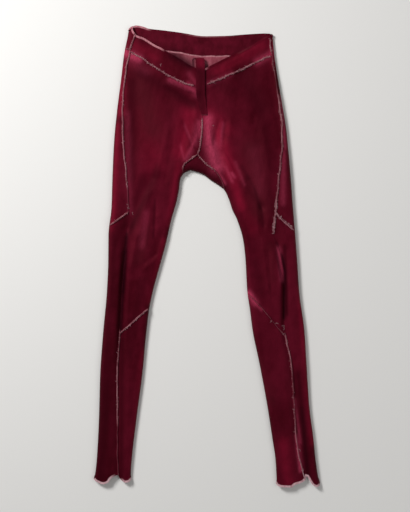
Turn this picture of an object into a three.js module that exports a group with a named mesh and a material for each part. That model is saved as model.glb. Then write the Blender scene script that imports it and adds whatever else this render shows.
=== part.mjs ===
// Leather leggings laid flat with the front up, in millimetres, +Z up.
// The surface they lie on is z = 0. +Y runs from the hems to the waist and +X is the wearer's left.
// Every panel is one wall of leather. The top layer is a height over the plan (x, y), the bottom layer
// lies flat, and both meet in a round fold along the plan's outline.
import * as THREE from 'three';

const wall = 1.2;
const halfGap = 0.15;
const seamHeight = 2.6;
const foldMiddle = 5;
const topRoll = 11;
const underRoll = 5;
const inseamInset = 12;
const leastHeight = 3.9;
const belowHems = -560;

// Rows across each leg: outer fold, side seam, and how high the top layer stands over the surface.
const legs = {
  right: {
    out: -1,
    outline: [
      { up: 538, outer: -172, side: -160, loft: 8 },
      { up: 527, outer: -181, side: -164, loft: 8.5 },
      { up: 513, outer: -183.5, side: -168, loft: 9 },
      { up: 471, outer: -192, side: -179.5, loft: 10 },
      { up: 410, outer: -199.5, side: -190, loft: 11 },
      { up: 340, outer: -208.5, side: -195.5, loft: 13 },
      { up: 269, outer: -215.5, side: -194.5, loft: 14 },
      { up: 187, outer: -219.5, side: -187, loft: 14.5 },
      { up: 110, outer: -222, side: -182, loft: 14 },
      { up: 46, outer: -229, side: -187, loft: 14 },
      { up: -13, outer: -229.5, side: -192.5, loft: 14 },
      { up: -84, outer: -232.5, side: -198.5, loft: 14 },
      { up: -189, outer: -242, side: -203, loft: 14 },
      { up: -283, outer: -248.5, side: -209, loft: 14 },
      { up: -377, outer: -251, side: -208.5, loft: 13.5 },
      { up: -460, outer: -255, side: -209, loft: 13 },
      { up: -506, outer: -259, side: -207, loft: 12.5 },
      { up: -540, outer: -265, side: -204.5, loft: 12 },
    ],
    inner: [
      { up: 197, inner: -36 },
      { up: 194, inner: -46 },
      { up: 187, inner: -55 },
      { up: 173, inner: -61 },
      { up: 151, inner: -63.5 },
      { up: 128, inner: -68 },
      { up: 104, inner: -75 },
      { up: 81, inner: -81.5 },
      { up: 34, inner: -92 },
      { up: -13, inner: -104.5 },
      { up: -84, inner: -124 },
      { up: -130, inner: -133.5 },
      { up: -189, inner: -140.5 },
      { up: -283, inner: -149.5 },
      { up: -377, inner: -162 },
      { up: -460, inner: -172 },
      { up: -506, inner: -176 },
      { up: -540, inner: -177 },
    ],
    trough: [
      { up: 160, across: -184, depth: 0, width: 14 },
      { up: 105, across: -182.5, depth: 3, width: 13 },
      { up: 46, across: -187, depth: 8, width: 11 },
      { up: -13, across: -192, depth: 9.5, width: 10 },
      { up: -84, across: -198, depth: 10, width: 9 },
      { up: -189, across: -202, depth: 9, width: 10 },
      { up: -283, across: -206, depth: 8, width: 12 },
      { up: -377, across: -205, depth: 8.5, width: 12 },
      { up: -460, across: -206, depth: 9, width: 12 },
      { up: -540, across: -202, depth: 8, width: 12 },
    ],
    hem: [
      { across: -265, up: -523 },
      { across: -257, up: -531.5 },
      { across: -241, up: -537.5 },
      { across: -229, up: -533 },
      { across: -222, up: -523 },
      { across: -207, up: -517 },
      { across: -203, up: -524 },
      { across: -197, up: -530 },
      { across: -188, up: -534 },
      { across: -180, up: -531.5 },
      { across: -177, up: -527 },
    ],
    hemUnder: [
      { across: -265, up: -523 },
      { across: -225, up: -512 },
      { across: -190, up: -514 },
      { across: -177, up: -527 },
    ],
    kneeOuter: { side: 100.5, edge: 66 },
    kneeInner: { side: -187, edge: -123.5 },
    hemSide: { outer: -517, inner: -522 },
  },
  left: {
    out: 1,
    outline: [
      { up: 518, outer: 155.5, side: 148, loft: 8 },
      { up: 471, outer: 160, side: 153, loft: 9.5 },
      { up: 410, outer: 169, side: 162, loft: 11 },
      { up: 354, outer: 178.5, side: 170.5, loft: 12.5 },
      { up: 297, outer: 188, side: 177.5, loft: 13.5 },
      { up: 257, outer: 192, side: 177.5, loft: 14 },
      { up: 187, outer: 198.5, side: 171, loft: 14.5 },
      { up: 107, outer: 204.5, side: 163, loft: 14 },
      { up: 46, outer: 209.5, side: 160, loft: 14 },
      { up: -13, outer: 214, side: 172, loft: 14 },
      { up: -84, outer: 218.5, side: 182, loft: 14 },
      { up: -180, outer: 231, side: 184.5, loft: 14 },
      { up: -257, outer: 236, side: 199, loft: 14 },
      { up: -351, outer: 242, side: 205, loft: 13.5 },
      { up: -431, outer: 252, side: 210, loft: 13.5 },
      { up: -483, outer: 257.5, side: 219, loft: 13 },
      { up: -525, outer: 263.5, side: 230, loft: 12.5 },
      { up: -547, outer: 267, side: 233, loft: 12 },
    ],
    inner: [
      { up: 197, inner: -36 },
      { up: 194, inner: -24 },
      { up: 187, inner: -6 },
      { up: 175, inner: 9.5 },
      { up: 161, inner: 31 },
      { up: 151, inner: 43 },
      { up: 128, inner: 54 },
      { up: 104, inner: 62 },
      { up: 81, inner: 73 },
      { up: 34, inner: 87 },
      { up: -13, inner: 92.5 },
      { up: -84, inner: 96.5 },
      { up: -130, inner: 103 },
      { up: -180, inner: 109.5 },
      { up: -257, inner: 125.5 },
      { up: -351, inner: 143 },
      { up: -431, inner: 155.5 },
      { up: -483, inner: 163 },
      { up: -547, inner: 166.5 },
    ],
    trough: [
      { up: 110, across: 163, depth: 0, width: 14 },
      { up: 40, across: 164, depth: 4, width: 12 },
      { up: -13, across: 174, depth: 8.5, width: 10 },
      { up: -84, across: 184, depth: 10, width: 9 },
      { up: -140, across: 183.5, depth: 9.5, width: 9 },
      { up: -202, across: 190, depth: 8, width: 10 },
      { up: -257, across: 204, depth: 7.5, width: 12 },
      { up: -351, across: 217, depth: 8.5, width: 13 },
      { up: -431, across: 221, depth: 9, width: 13 },
      { up: -483, across: 229, depth: 9, width: 12 },
      { up: -547, across: 243, depth: 8, width: 11 },
    ],
    hem: [
      { across: 166, up: -536 },
      { across: 168, up: -541 },
      { across: 180, up: -544.5 },
      { across: 200, up: -545 },
      { across: 208, up: -539 },
      { across: 224, up: -534 },
      { across: 231, up: -529 },
      { across: 236, up: -519 },
      { across: 244, up: -530.5 },
      { across: 250, up: -539.5 },
      { across: 259, up: -544 },
      { across: 266, up: -541 },
    ],
    hemUnder: [
      { across: 166, up: -536 },
      { across: 185, up: -518 },
      { across: 235, up: -512 },
      { across: 255, up: -520 },
      { across: 266, up: -541 },
    ],
    kneeOuter: { side: 97.5, edge: 54.5 },
    kneeInner: { side: -194, edge: -88 },
    hemSide: { outer: -518.5, inner: -529 },
  },
};

// Edges of the waistband across the garment: the front V, its lower seam, and the same two at the back.
const waistFront = [
  { across: -172, up: 532 },
  { across: -164, up: 515 },
  { across: -145, up: 506.5 },
  { across: -134, up: 500 },
  { across: -111, up: 486.5 },
  { across: -90, up: 475 },
  { across: -55, up: 454 },
  { across: -29, up: 439 },
  { across: -10.5, up: 433.5 },
  { across: 8, up: 441 },
  { across: 37, up: 455.5 },
  { across: 58, up: 466 },
  { across: 82, up: 476.5 },
  { across: 112, up: 493 },
  { across: 139, up: 510 },
  { across: 154, up: 515.5 },
];
const seamFront = [
  { across: -190, up: 481.5 },
  { across: -164, up: 467 },
  { across: -147, up: 458 },
  { across: -126, up: 443 },
  { across: -104, up: 429.5 },
  { across: -83, up: 416 },
  { across: -62, up: 406.5 },
  { across: -40, up: 398 },
  { across: -10.5, up: 393.5 },
  { across: 12, up: 403 },
  { across: 33, up: 411 },
  { across: 52, up: 419.5 },
  { across: 87, up: 435 },
  { across: 112, up: 448 },
  { across: 142, up: 461.5 },
  { across: 160, up: 467 },
];
const waistBack = [
  { across: -172, up: 538 },
  { across: -155, up: 537 },
  { across: -134, up: 530 },
  { across: -98, up: 526.5 },
  { across: -54, up: 520.5 },
  { across: -4, up: 513 },
  { across: 51, up: 514 },
  { across: 91, up: 517 },
  { across: 155.5, up: 518 },
];
const seamBack = [
  { across: -192, up: 482 },
  { across: -90, up: 477 },
  { across: -47, up: 471 },
  { across: -4, up: 465 },
  { across: 55, up: 466 },
  { across: 160, up: 467 },
];

// Centre front seam from the waistband to the crotch point, and the straight centre back seam.
const centreFront = [
  { up: 434, across: -10.5 },
  { up: 300, across: -9.5 },
  { up: 258, across: -13 },
  { up: 234, across: -20 },
];
const centreBack = [
  { up: 513, across: -9.5 },
  { up: 245, across: -19 },
];

// Seams of the crotch gusset. The front seam runs from the crotch point to the inner fold of a leg,
// then round it; the back seam runs from the centre back to the head of the inseam.
const gusset = {
  right: {
    front: [
      { across: -20, up: 234 },
      { across: -37.5, up: 222 },
      { across: -51, up: 212 },
      { across: -55, up: 200 },
    ],
    wrap: [187, 183, 178, 171, 160],
    backMiddle: { across: -65, up: 203 },
  },
  left: {
    front: [
      { across: -20, up: 234 },
      { across: 1, up: 211 },
      { across: 21, up: 196 },
      { across: 39, up: 168 },
    ],
    wrap: [143, 139, 134, 127, 115],
    backMiddle: { across: 51, up: 172 },
  },
};

// The largest folds: straight runs of the top layer, raised where height is positive.
const folds = [
  { fromX: -138, fromY: 138, toX: -155, toY: 50, width: 14, height: 3 },
  { fromX: -155, fromY: 50, toX: -174, toY: -25, width: 12, height: 2.5 },
  { fromX: -131, fromY: 180, toX: -184, toY: 64, width: 13, height: -4 },
  { fromX: -155, fromY: 412, toX: -34, toY: 352, width: 18, height: -3.5 },
  { fromX: -84, fromY: 404, toX: -24, toY: 376, width: 8, height: 2.5 },
  { fromX: -164, fromY: 448, toX: -140, toY: 392, width: 20, height: 2 },
  { fromX: 4, fromY: 304, toX: 15, toY: 222, width: 12, height: 2.5 },
  { fromX: 44, fromY: 250, toX: 62, toY: 158, width: 12, height: 2.5 },
  { fromX: 24, fromY: 290, toX: 36, toY: 215, width: 9, height: -2.5 },
  { fromX: 100, fromY: 172, toX: 131, toY: 112, width: 8, height: -3.5 },
  { fromX: 131, fromY: 112, toX: 134, toY: 70, width: 8, height: -3.5 },
  { fromX: 90, fromY: 410, toX: 130, toY: 340, width: 20, height: -3 },
  { fromX: -100, fromY: 60, toX: -122, toY: 0, width: 10, height: -2 },
  { fromX: 116, fromY: 40, toX: 124, toY: -60, width: 12, height: -2 },
];

// How many strips each run of seam is cut into, the same on both panels that meet there.
const bandRows = 3;
const sideRows = { thigh: 14, knee: 11, calf: 11 };
const frontRows = { centre: 5, gusset: 8 };
const backRows = { centre: 6, gusset: 2 };
const innerColumns = 17;
const outerColumns = { top: 7, roll: 3, under: 5 };
const rollSteps = [0.75, 3, 6.75];
const wraps = 4;

// A smooth curve through a table's rows that never overshoots them, straight beyond its ends.
function curve(rows, key, along = 'up') {
  const sorted = [...rows].sort((a, b) => a[along] - b[along]);
  const at = sorted.map((row) => row[along]);
  const value = sorted.map((row) => row[key]);
  const slope = at.slice(1).map((t, i) => (value[i + 1] - value[i]) / (t - at[i]));
  const tangent = at.map((_, i) => {
    if (i === 0) return slope[0];
    if (i === slope.length) return slope[i - 1];
    const [a, b] = [slope[i - 1], slope[i]];
    return a * b > 0 ? 2 * a * b / (a + b) : 0;
  });
  const last = at.length - 1;
  return (t) => {
    if (t <= at[0]) return value[0] + tangent[0] * (t - at[0]);
    if (t >= at[last]) return value[last] + tangent[last] * (t - at[last]);
    const i = at.findIndex((_, n) => t < at[n + 1]);
    const span = at[i + 1] - at[i];
    const u = (t - at[i]) / span;
    const rise = value[i + 1] - value[i];
    const bow = (1 - u) * (tangent[i] * span - rise) - u * (tangent[i + 1] * span - rise);
    return value[i] + u * rise + u * (1 - u) * bow;
  };
}

function mix(a, b, t) {
  return a + (b - a) * t;
}

function smooth(t) {
  const u = Math.min(Math.max(t, 0), 1);
  return u * u * (3 - 2 * u);
}

for (const leg of Object.values(legs)) {
  leg.outerAt = curve(leg.outline, 'outer');
  leg.sideAt = curve(leg.outline, 'side');
  leg.loftAt = curve(leg.outline, 'loft');
  leg.innerAt = curve(leg.inner, 'inner');
  leg.hemAt = curve(leg.hem, 'up', 'across');
  leg.hemUnderAt = curve(leg.hemUnder, 'up', 'across');
  leg.troughAt = {
    across: curve(leg.trough, 'across'),
    depth: curve(leg.trough, 'depth'),
    width: curve(leg.trough, 'width'),
  };
}
const waistFrontAt = curve(waistFront, 'up', 'across');
const seamFrontAt = curve(seamFront, 'up', 'across');
const waistBackAt = curve(waistBack, 'up', 'across');
const seamBackAt = curve(seamBack, 'up', 'across');
const centreFrontAt = curve(centreFront, 'across');
const centreBackAt = curve(centreBack, 'across');

// The plan's folded outline as short straight runs: both outer edges, and the inner edges joined
// over the crotch. Hems and waist are open and aren't part of it.
function outlineRuns() {
  const step = 5;
  const run = (at, top, bottom) => {
    const count = Math.round((top - bottom) / step);
    return Array.from({ length: count + 1 }, (_, i) => {
      const up = mix(top, bottom, (i / count) ** 1.3);
      return { x: at(up), y: up };
    });
  };
  const lines = [];
  for (const leg of Object.values(legs)) {
    const top = leg.outline[0].up + 8;
    lines.push(run(leg.outerAt, top, belowHems));
    lines.push(run(leg.innerAt, leg.inner[0].up, belowHems));
  }
  return lines.flatMap((line) => line.slice(1).map((end, i) => ({ start: line[i], end })));
}
const runs = outlineRuns();
const crotchTop = legs.right.inner[0];

// Distance from a point of the plan to the folded outline, and the direction away from it.
function fromOutline(x, y) {
  let best = { distance: Infinity };
  for (const { start, end } of runs) {
    const [dx, dy] = [end.x - start.x, end.y - start.y];
    const t = Math.min(Math.max(((x - start.x) * dx + (y - start.y) * dy) / (dx * dx + dy * dy), 0), 1);
    const [gapX, gapY] = [x - start.x - t * dx, y - start.y - t * dy];
    const distance = Math.hypot(gapX, gapY);
    if (distance < best.distance) best = { distance, gapX, gapY, dx, dy };
  }
  if (best.distance > 0.4) {
    return { distance: best.distance, awayX: best.gapX / best.distance, awayY: best.gapY / best.distance };
  }
  const length = Math.hypot(best.dx, best.dy);
  const [acrossX, acrossY] = [-best.dy / length, best.dx / length];
  const inside = insidePlan(x + acrossX * 3, y + acrossY * 3) ? 1 : -1;
  return { distance: best.distance, awayX: acrossX * inside, awayY: acrossY * inside };
}

function insidePlan(x, y) {
  if (x < legs.right.outerAt(y) || x > legs.left.outerAt(y)) return false;
  if (y >= crotchTop.up) return true;
  return x < legs.right.innerAt(y) || x > legs.left.innerAt(y);
}

// Height of the top layer over the surface, before its round fold down to the outline.
function loft(x, y) {
  const { right, left } = legs;
  const share = smooth((x + 60) / 80);
  let height = mix(right.loftAt(y), left.loftAt(y), share);
  for (const leg of [right, left]) {
    const { across, depth, width } = leg.troughAt;
    const near = (x - across(y)) / width(y);
    const sunk = y > leg.trough[0].up ? 0 : Math.max(depth(y), 0);
    height -= sunk * Math.exp(-near * near);
  }
  for (const fold of folds) {
    const [dx, dy] = [fold.toX - fold.fromX, fold.toY - fold.fromY];
    const along = ((x - fold.fromX) * dx + (y - fold.fromY) * dy) / (dx * dx + dy * dy);
    const t = Math.min(Math.max(along, 0), 1);
    const near = Math.hypot(x - fold.fromX - t * dx, y - fold.fromY - t * dy) / fold.width;
    height += fold.height * Math.exp(-near * near);
  }
  const spare = height - leastHeight;
  return leastHeight + (spare + Math.sqrt(spare * spare + 0.5)) / 2;
}

// A point of the leather's outer face and its normal. layer is 1 on top, -1 underneath, 0 on the fold.
function facePoint(x, y, layer) {
  const { distance, awayX, awayY } = fromOutline(x, y);
  const roll = layer < 0 ? underRoll : topRoll;
  const t = layer === 0 ? 0 : Math.min(distance / roll, 1);
  const arc = Math.sqrt(2 * t - t * t);
  if (layer < 0) {
    const lean = foldMiddle * (1 - t) / roll;
    const normal = new THREE.Vector3(-lean * awayX, -lean * awayY, -arc).normalize();
    return { at: new THREE.Vector3(x, y, foldMiddle * (1 - arc)), normal };
  }
  const step = 1;
  const height = loft(x, y);
  const slopeX = (loft(x + step, y) - loft(x - step, y)) / (2 * step);
  const slopeY = (loft(x, y + step) - loft(x, y - step)) / (2 * step);
  const lean = (height - foldMiddle) * (1 - t) / roll;
  const normal = new THREE.Vector3(
    -slopeX * arc * arc - lean * awayX,
    -slopeY * arc * arc - lean * awayY,
    arc,
  ).normalize();
  return { at: new THREE.Vector3(x, y, foldMiddle + (height - foldMiddle) * arc), normal };
}

// One row of an inner panel from its start (centre seam, gusset or inseam) to the side seam.
// start.wraps is how many of its columns lie under the leg, start.even how far the columns are even.
function innerRow(leg, start, sideUp, bend = () => 0) {
  const middle = (start.up + sideUp) / 2;
  const origin = (up) => (start.wraps || start.onFold ? leg.innerAt(up) : start.across);
  const width = Math.abs(leg.sideAt(middle) - origin(middle));
  const under = start.wraps;
  const rest = innerColumns - under - rollSteps.length;
  const first = rollSteps[rollSteps.length - 1];
  const places = [];
  for (let k = 0; k < under; k += 1) places.push(-start.inset * (1 - k / under) ** 2);
  const rolled = [0, ...rollSteps];
  for (let k = 1; k <= rest; k += 1) rolled.push(mix(first, width, k / rest));
  rolled.forEach((place, k) => {
    places.push(mix(width * k / (innerColumns - under), place, start.fine));
  });
  return places.map((place, k) => {
    const share = (place - places[0]) / (width - places[0]);
    const up = mix(start.up, sideUp, share);
    const layer = start.wraps || start.onFold ? Math.sign(k - under) : 1;
    const across = (at) => {
      if (k === 0 && start.wraps) return start.across;
      const scale = place > 0 ? Math.abs(leg.sideAt(at) - origin(at)) / width : 1;
      return origin(at) + leg.out * Math.abs(place) * scale;
    };
    let y = up + bend(across(up), layer, up, k);
    y = up + bend(across(y), layer, up, k);
    return { x: across(y), y, layer };
  });
}

// One row of an outer panel from the side seam round the outer fold and under the leg to its end.
function outerRow(leg, sideUp, end, bend = () => 0) {
  const { top, roll, under } = outerColumns;
  const middle = (sideUp + end.up) / 2;
  const depth = Math.abs(leg.outerAt(sideUp) - leg.sideAt(sideUp));
  const width = Math.abs(leg.outerAt(middle) - end.across);
  const lastRoll = rollSteps[roll - 1];
  const places = [];
  for (let k = 0; k <= top; k += 1) places.push({ layer: k < top ? 1 : 0, fold: (1 - k / top) ** 2 });
  for (let k = 0; k < roll; k += 1) places.push({ layer: -1, inset: rollSteps[k] });
  for (let k = 1; k <= under; k += 1) places.push({ layer: -1, share: k / under });
  return places.map(({ layer, fold, inset, share }, k) => {
    const last = k === places.length - 1;
    const across = (at) => {
      const edge = leg.outerAt(at);
      if (last) return end.across;
      if (layer >= 0) return mix(edge, leg.sideAt(at), fold);
      const rolled = edge - leg.out * (inset ?? lastRoll);
      return share === undefined ? rolled : mix(rolled, end.across, share);
    };
    let gone = depth * (1 - fold);
    if (layer < 0) gone = depth + (inset ?? mix(lastRoll, width, share));
    const part = gone / (depth + width);
    const up = mix(sideUp, end.up, part);
    let y = up + bend(across(up), layer, up, k, part, depth / (depth + width));
    y = up + bend(across(y), layer, up, k, part, depth / (depth + width));
    return { x: across(y), y, layer };
  });
}

// Rows between a first and a last one: each keeps its own ends, and takes on less and less of the
// shape of the two outer rows towards the middle.
function panelRows(starts, makeRow, firstBend, lastBend) {
  const count = starts.length - 1;
  const off = (bend, start) => {
    if (!bend) return () => 0;
    const straight = makeRow(start);
    const bent = makeRow(start, bend);
    return (k) => bent[k].y - straight[k].y;
  };
  const firstOff = off(firstBend, starts[0]);
  const lastOff = off(lastBend, starts[count]);
  return starts.map((start, i) => {
    if (i === 0 && firstBend) return makeRow(start, firstBend);
    if (i === count && lastBend) return makeRow(start, lastBend);
    const [near, far] = [(1 - i / count) ** 2, (i / count) ** 3];
    return makeRow(start, (x, layer, up, k) => near * firstOff(k) + far * lastOff(k));
  });
}

function between(count, from, to) {
  return Array.from({ length: count + 1 }, (_, i) => mix(from, to, i / count));
}

// Where the side seam crosses a seam that runs across the garment.
function crossing(sideAt, seamAt, guess) {
  let up = guess;
  for (let i = 0; i < 30; i += 1) up = mix(up, seamAt(sideAt(up)), 0.5);
  return up;
}

// Heights of the seam points that neighbouring panels share.
for (const [name, leg] of Object.entries(legs)) {
  leg.waistSide = crossing(leg.sideAt, waistFrontAt, 514);
  leg.seamSide = crossing(leg.sideAt, seamFrontAt, 470);
  leg.bandUps = between(bandRows, leg.waistSide, leg.seamSide);
  leg.thighUps = between(sideRows.thigh, leg.seamSide, leg.kneeOuter.side);
  leg.kneeUps = between(sideRows.knee, leg.kneeOuter.side, leg.kneeInner.side);
  leg.calfUps = between(sideRows.calf, leg.kneeInner.side, leg.hemSide.inner);
  const kneeWidth = Math.abs(leg.sideAt(leg.kneeInner.side) - leg.innerAt(leg.kneeInner.edge));
  const lean = (leg.kneeInner.edge - leg.kneeInner.side) / kneeWidth;
  leg.kneeUnder = leg.kneeInner.edge + lean * inseamInset;
  const seam = gusset[name];
  leg.headUp = seam.wrap[wraps];
  leg.inseamAt = (up) => leg.innerAt(up) + leg.out * inseamInset;
  leg.hemInseam = leg.hemUnderAt(leg.inseamAt(-525));
  const knots = (count, from, to) => between(count, from, to).map((up) => ({ up, across: leg.inseamAt(up) }));
  const count = sideRows.thigh - backRows.centre - backRows.gusset;
  leg.thighKnots = knots(count, leg.headUp, leg.kneeUnder);
  leg.calfKnots = knots(sideRows.calf, leg.kneeUnder, leg.hemInseam);
}

// Twice as many points on a run of straight stretches, the new ones halfway.
function halved(points) {
  return points.flatMap((point, i) => {
    if (i === 0) return [point];
    const before = points[i - 1];
    const half = { up: (before.up + point.up) / 2, across: (before.across + point.across) / 2 };
    return [half, point];
  });
}

const crotchFront = centreFront[centreFront.length - 1];
const crotchBack = centreBack[centreBack.length - 1];
const seamCentreUp = seamFrontAt(centreFrontAt(393.5));
const backCentreUp = seamBackAt(centreBackAt(465));

// Starts of the front panel's rows: down the centre seam, along the gusset round the inner fold,
// then down the inseam.
function frontStarts(name) {
  const leg = legs[name];
  const seam = gusset[name];
  const centre = between(frontRows.centre, seamCentreUp, crotchFront.up)
    .map((up) => ({ up, across: centreFrontAt(up), wraps: 0, fine: 0 }));
  const onTop = seam.front.slice(1).map((point, i) => ({ ...point, wraps: 0, fine: (i + 1) / 4 }));
  const wrapped = seam.wrap.map((up, i) => {
    const inset = inseamInset * (i / wraps) ** 2;
    const across = leg.innerAt(up) + leg.out * inset;
    return { up, across, wraps: i, inset, fine: 1, onFold: i === 0 };
  });
  const inseam = halved(leg.thighKnots).slice(1)
    .map((point) => ({ ...point, wraps, inset: inseamInset, fine: 1 }));
  return [...centre, ...onTop, ...wrapped, ...inseam];
}

function backEnds(name) {
  const leg = legs[name];
  const centre = between(backRows.centre, backCentreUp, crotchBack.up)
    .map((up) => ({ up, across: centreBackAt(up) }));
  return [...centre, gusset[name].backMiddle, ...leg.thighKnots];
}

// The strap down the centre front: its middle line and half width.
const strapRows = [
  { up: 462, across: -17, half: 12.5 },
  { up: 434, across: -13, half: 11 },
  { up: 380, across: -11.5, half: 11 },
  { up: 326, across: -5.5, half: 8.5 },
];
const strapLift = 0.9;
const strapAcrossAt = curve(strapRows, 'across');
const strapHalfAt = curve(strapRows, 'half');

// How far a seam's edges are turned up at a point: fully on top, not under the strap nor on the folds,
// and not on the underside, where the edges are butted.
function turnedUp(point) {
  if (point.layer <= 0) return 0;
  const strap = strapRows[strapRows.length - 1];
  const beside = Math.abs(point.x - strapAcrossAt(point.y)) - strapHalfAt(point.y);
  if (point.y > strap.up - 8 && beside < 4) return 0;
  return smooth((fromOutline(point.x, point.y).distance - 1) / 4);
}

// Stations along one direction of a panel: on a seam, one at the cut edge and one at its fold.
function stations(count, startKind, endKind) {
  const list = Array.from({ length: count }, (_, i) => ({ index: i }));
  list[0].edge = startKind;
  list[count - 1].edge = endKind;
  return list.flatMap((station, i) => {
    const inward = i === 0 ? 1 : -1;
    if (i > 0 && i < count - 1) return [station];
    if (station.edge === 'raw') return [station];
    const pair = [{ ...station, inward, cut: true }, { ...station, inward, crease: true }];
    return i === 0 ? pair : pair.reverse();
  });
}

// Distances in from the seam line and height over the face, on the outer and on the inner side.
function seamOffsets(station, up, gap) {
  if (station.cut) {
    return {
      outerIn: gap + wall * up,
      outerUp: seamHeight * up,
      innerIn: gap,
      innerUp: mix(-wall, seamHeight, up),
    };
  }
  if (station.crease) {
    const bend = gap + wall * Math.max(up, 0.4);
    return { outerIn: bend, outerUp: 0, innerIn: mix(bend, gap, up), innerUp: -wall };
  }
  return { outerIn: 0, outerUp: 0, innerIn: 0, innerUp: -wall };
}

// A panel of leather from its plan rows. Each of its four edges is a seam, or raw where it ends free.
function panel(rows, edges, gap = halfGap) {
  const faces = rows.map((row) => row.map((point) => ({ ...facePoint(point.x, point.y, point.layer), point })));
  const rowStations = stations(rows.length, edges.first, edges.last);
  const columnStations = stations(rows[0].length, edges.start, edges.end);
  const at = (i, k) => faces[i][k].at;
  const direction = (from, to, normal) => {
    const way = to.clone().sub(from);
    return way.addScaledVector(normal, -way.dot(normal)).normalize();
  };
  const layers = { outer: [], inner: [] };
  for (const row of rowStations) {
    const lines = { outer: [], inner: [] };
    for (const column of columnStations) {
      const [i, k] = [row.index, column.index];
      const { normal, point } = faces[i][k];
      const up = (line) => (line === undefined ? 0 : line(point));
      const rowUp = up(row.cut || row.crease ? row.edge : undefined);
      const columnUp = up(column.cut || column.crease ? column.edge : undefined);
      const rowOff = seamOffsets(row, rowUp, gap);
      const columnOff = seamOffsets(column, columnUp, gap);
      const lastRow = rows.length - 1;
      const lastColumn = rows[0].length - 1;
      const down = direction(at(Math.max(i - 1, 0), k), at(Math.min(i + 1, lastRow), k), normal);
      const over = direction(at(i, Math.max(k - 1, 0)), at(i, Math.min(k + 1, lastColumn)), normal);
      const sine = Math.max(down.clone().cross(over).length(), 0.3);
      const rowAway = normal.clone().cross(over).normalize();
      if (rowAway.dot(down) < 0) rowAway.negate();
      const columnAway = normal.clone().cross(down).normalize();
      if (columnAway.dot(over) < 0) columnAway.negate();
      for (const side of ['outer', 'inner']) {
        const rowIn = rowOff[`${side}In`] * (row.inward ?? 0);
        const columnIn = columnOff[`${side}In`] * (column.inward ?? 0);
        const place = at(i, k).clone();
        if (row.inward && column.inward) {
          place.addScaledVector(down, rowIn / sine).addScaledVector(over, columnIn / sine);
        } else {
          place.addScaledVector(rowAway, rowIn).addScaledVector(columnAway, columnIn);
        }
        const raised = Math.max(rowOff[`${side}Up`], columnOff[`${side}Up`]);
        place.addScaledVector(normal, raised);
        place.z = Math.max(place.z, 0);
        lines[side].push(place);
      }
    }
    layers.outer.push(lines.outer);
    layers.inner.push(lines.inner);
  }
  return closedWall(layers.outer, layers.inner);
}

// A closed solid between two grids of points of the same size.
function closedWall(outer, inner) {
  const [rowCount, columnCount] = [outer.length, outer[0].length];
  const points = [...outer.flat(), ...inner.flat()];
  const half = rowCount * columnCount;
  const index = (i, k, side) => side * half + i * columnCount + k;
  const triangles = [];
  const quad = (a, b, c, d) => {
    const shortest = points[a].distanceTo(points[c]) <= points[b].distanceTo(points[d]);
    triangles.push(...(shortest ? [a, b, c, a, c, d] : [a, b, d, b, c, d]));
  };
  for (let i = 0; i < rowCount - 1; i += 1) {
    for (let k = 0; k < columnCount - 1; k += 1) {
      quad(index(i, k, 0), index(i + 1, k, 0), index(i + 1, k + 1, 0), index(i, k + 1, 0));
      quad(index(i, k, 1), index(i, k + 1, 1), index(i + 1, k + 1, 1), index(i + 1, k, 1));
    }
  }
  const rim = [];
  for (let k = 0; k < columnCount - 1; k += 1) rim.push([0, k]);
  for (let i = 0; i < rowCount - 1; i += 1) rim.push([i, columnCount - 1]);
  for (let k = columnCount - 1; k > 0; k -= 1) rim.push([rowCount - 1, k]);
  for (let i = rowCount - 1; i > 0; i -= 1) rim.push([i, 0]);
  rim.forEach(([i, k], n) => {
    const [nextI, nextK] = rim[(n + 1) % rim.length];
    quad(index(i, k, 0), index(nextI, nextK, 0), index(nextI, nextK, 1), index(i, k, 1));
  });
  if (signedVolume(points, triangles) < 0) triangles.reverse();
  const geometry = new THREE.BufferGeometry();
  const positions = points.flatMap((point) => [point.x, point.y, point.z]);
  geometry.setAttribute('position', new THREE.Float32BufferAttribute(positions, 3));
  geometry.setIndex(triangles);
  geometry.computeVertexNormals();
  return geometry;
}

function signedVolume(points, triangles) {
  let total = 0;
  const across = new THREE.Vector3();
  for (let n = 0; n < triangles.length; n += 3) {
    const [a, b, c] = [points[triangles[n]], points[triangles[n + 1]], points[triangles[n + 2]]];
    total += a.dot(across.crossVectors(b, c)) / 6;
  }
  return total;
}

const garment = new THREE.Group();
const leather = { color: 0x5a0a1e, roughness: 0.62, metalness: 0 };

function addPiece(name, geometry, tint = 1) {
  const material = new THREE.MeshStandardMaterial(leather);
  material.color.multiplyScalar(tint);
  const mesh = new THREE.Mesh(geometry, material);
  mesh.name = name;
  garment.add(mesh);
}

// The side seam isn't turned up between the two knee seams, where it lies in the crease.
const butted = () => 0;
const sideSeam = (leg) => (point) => {
  const folded = point.y < leg.kneeOuter.side - 12 && point.y > leg.kneeInner.side + 12;
  return folded ? 0 : turnedUp(point);
};

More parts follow.
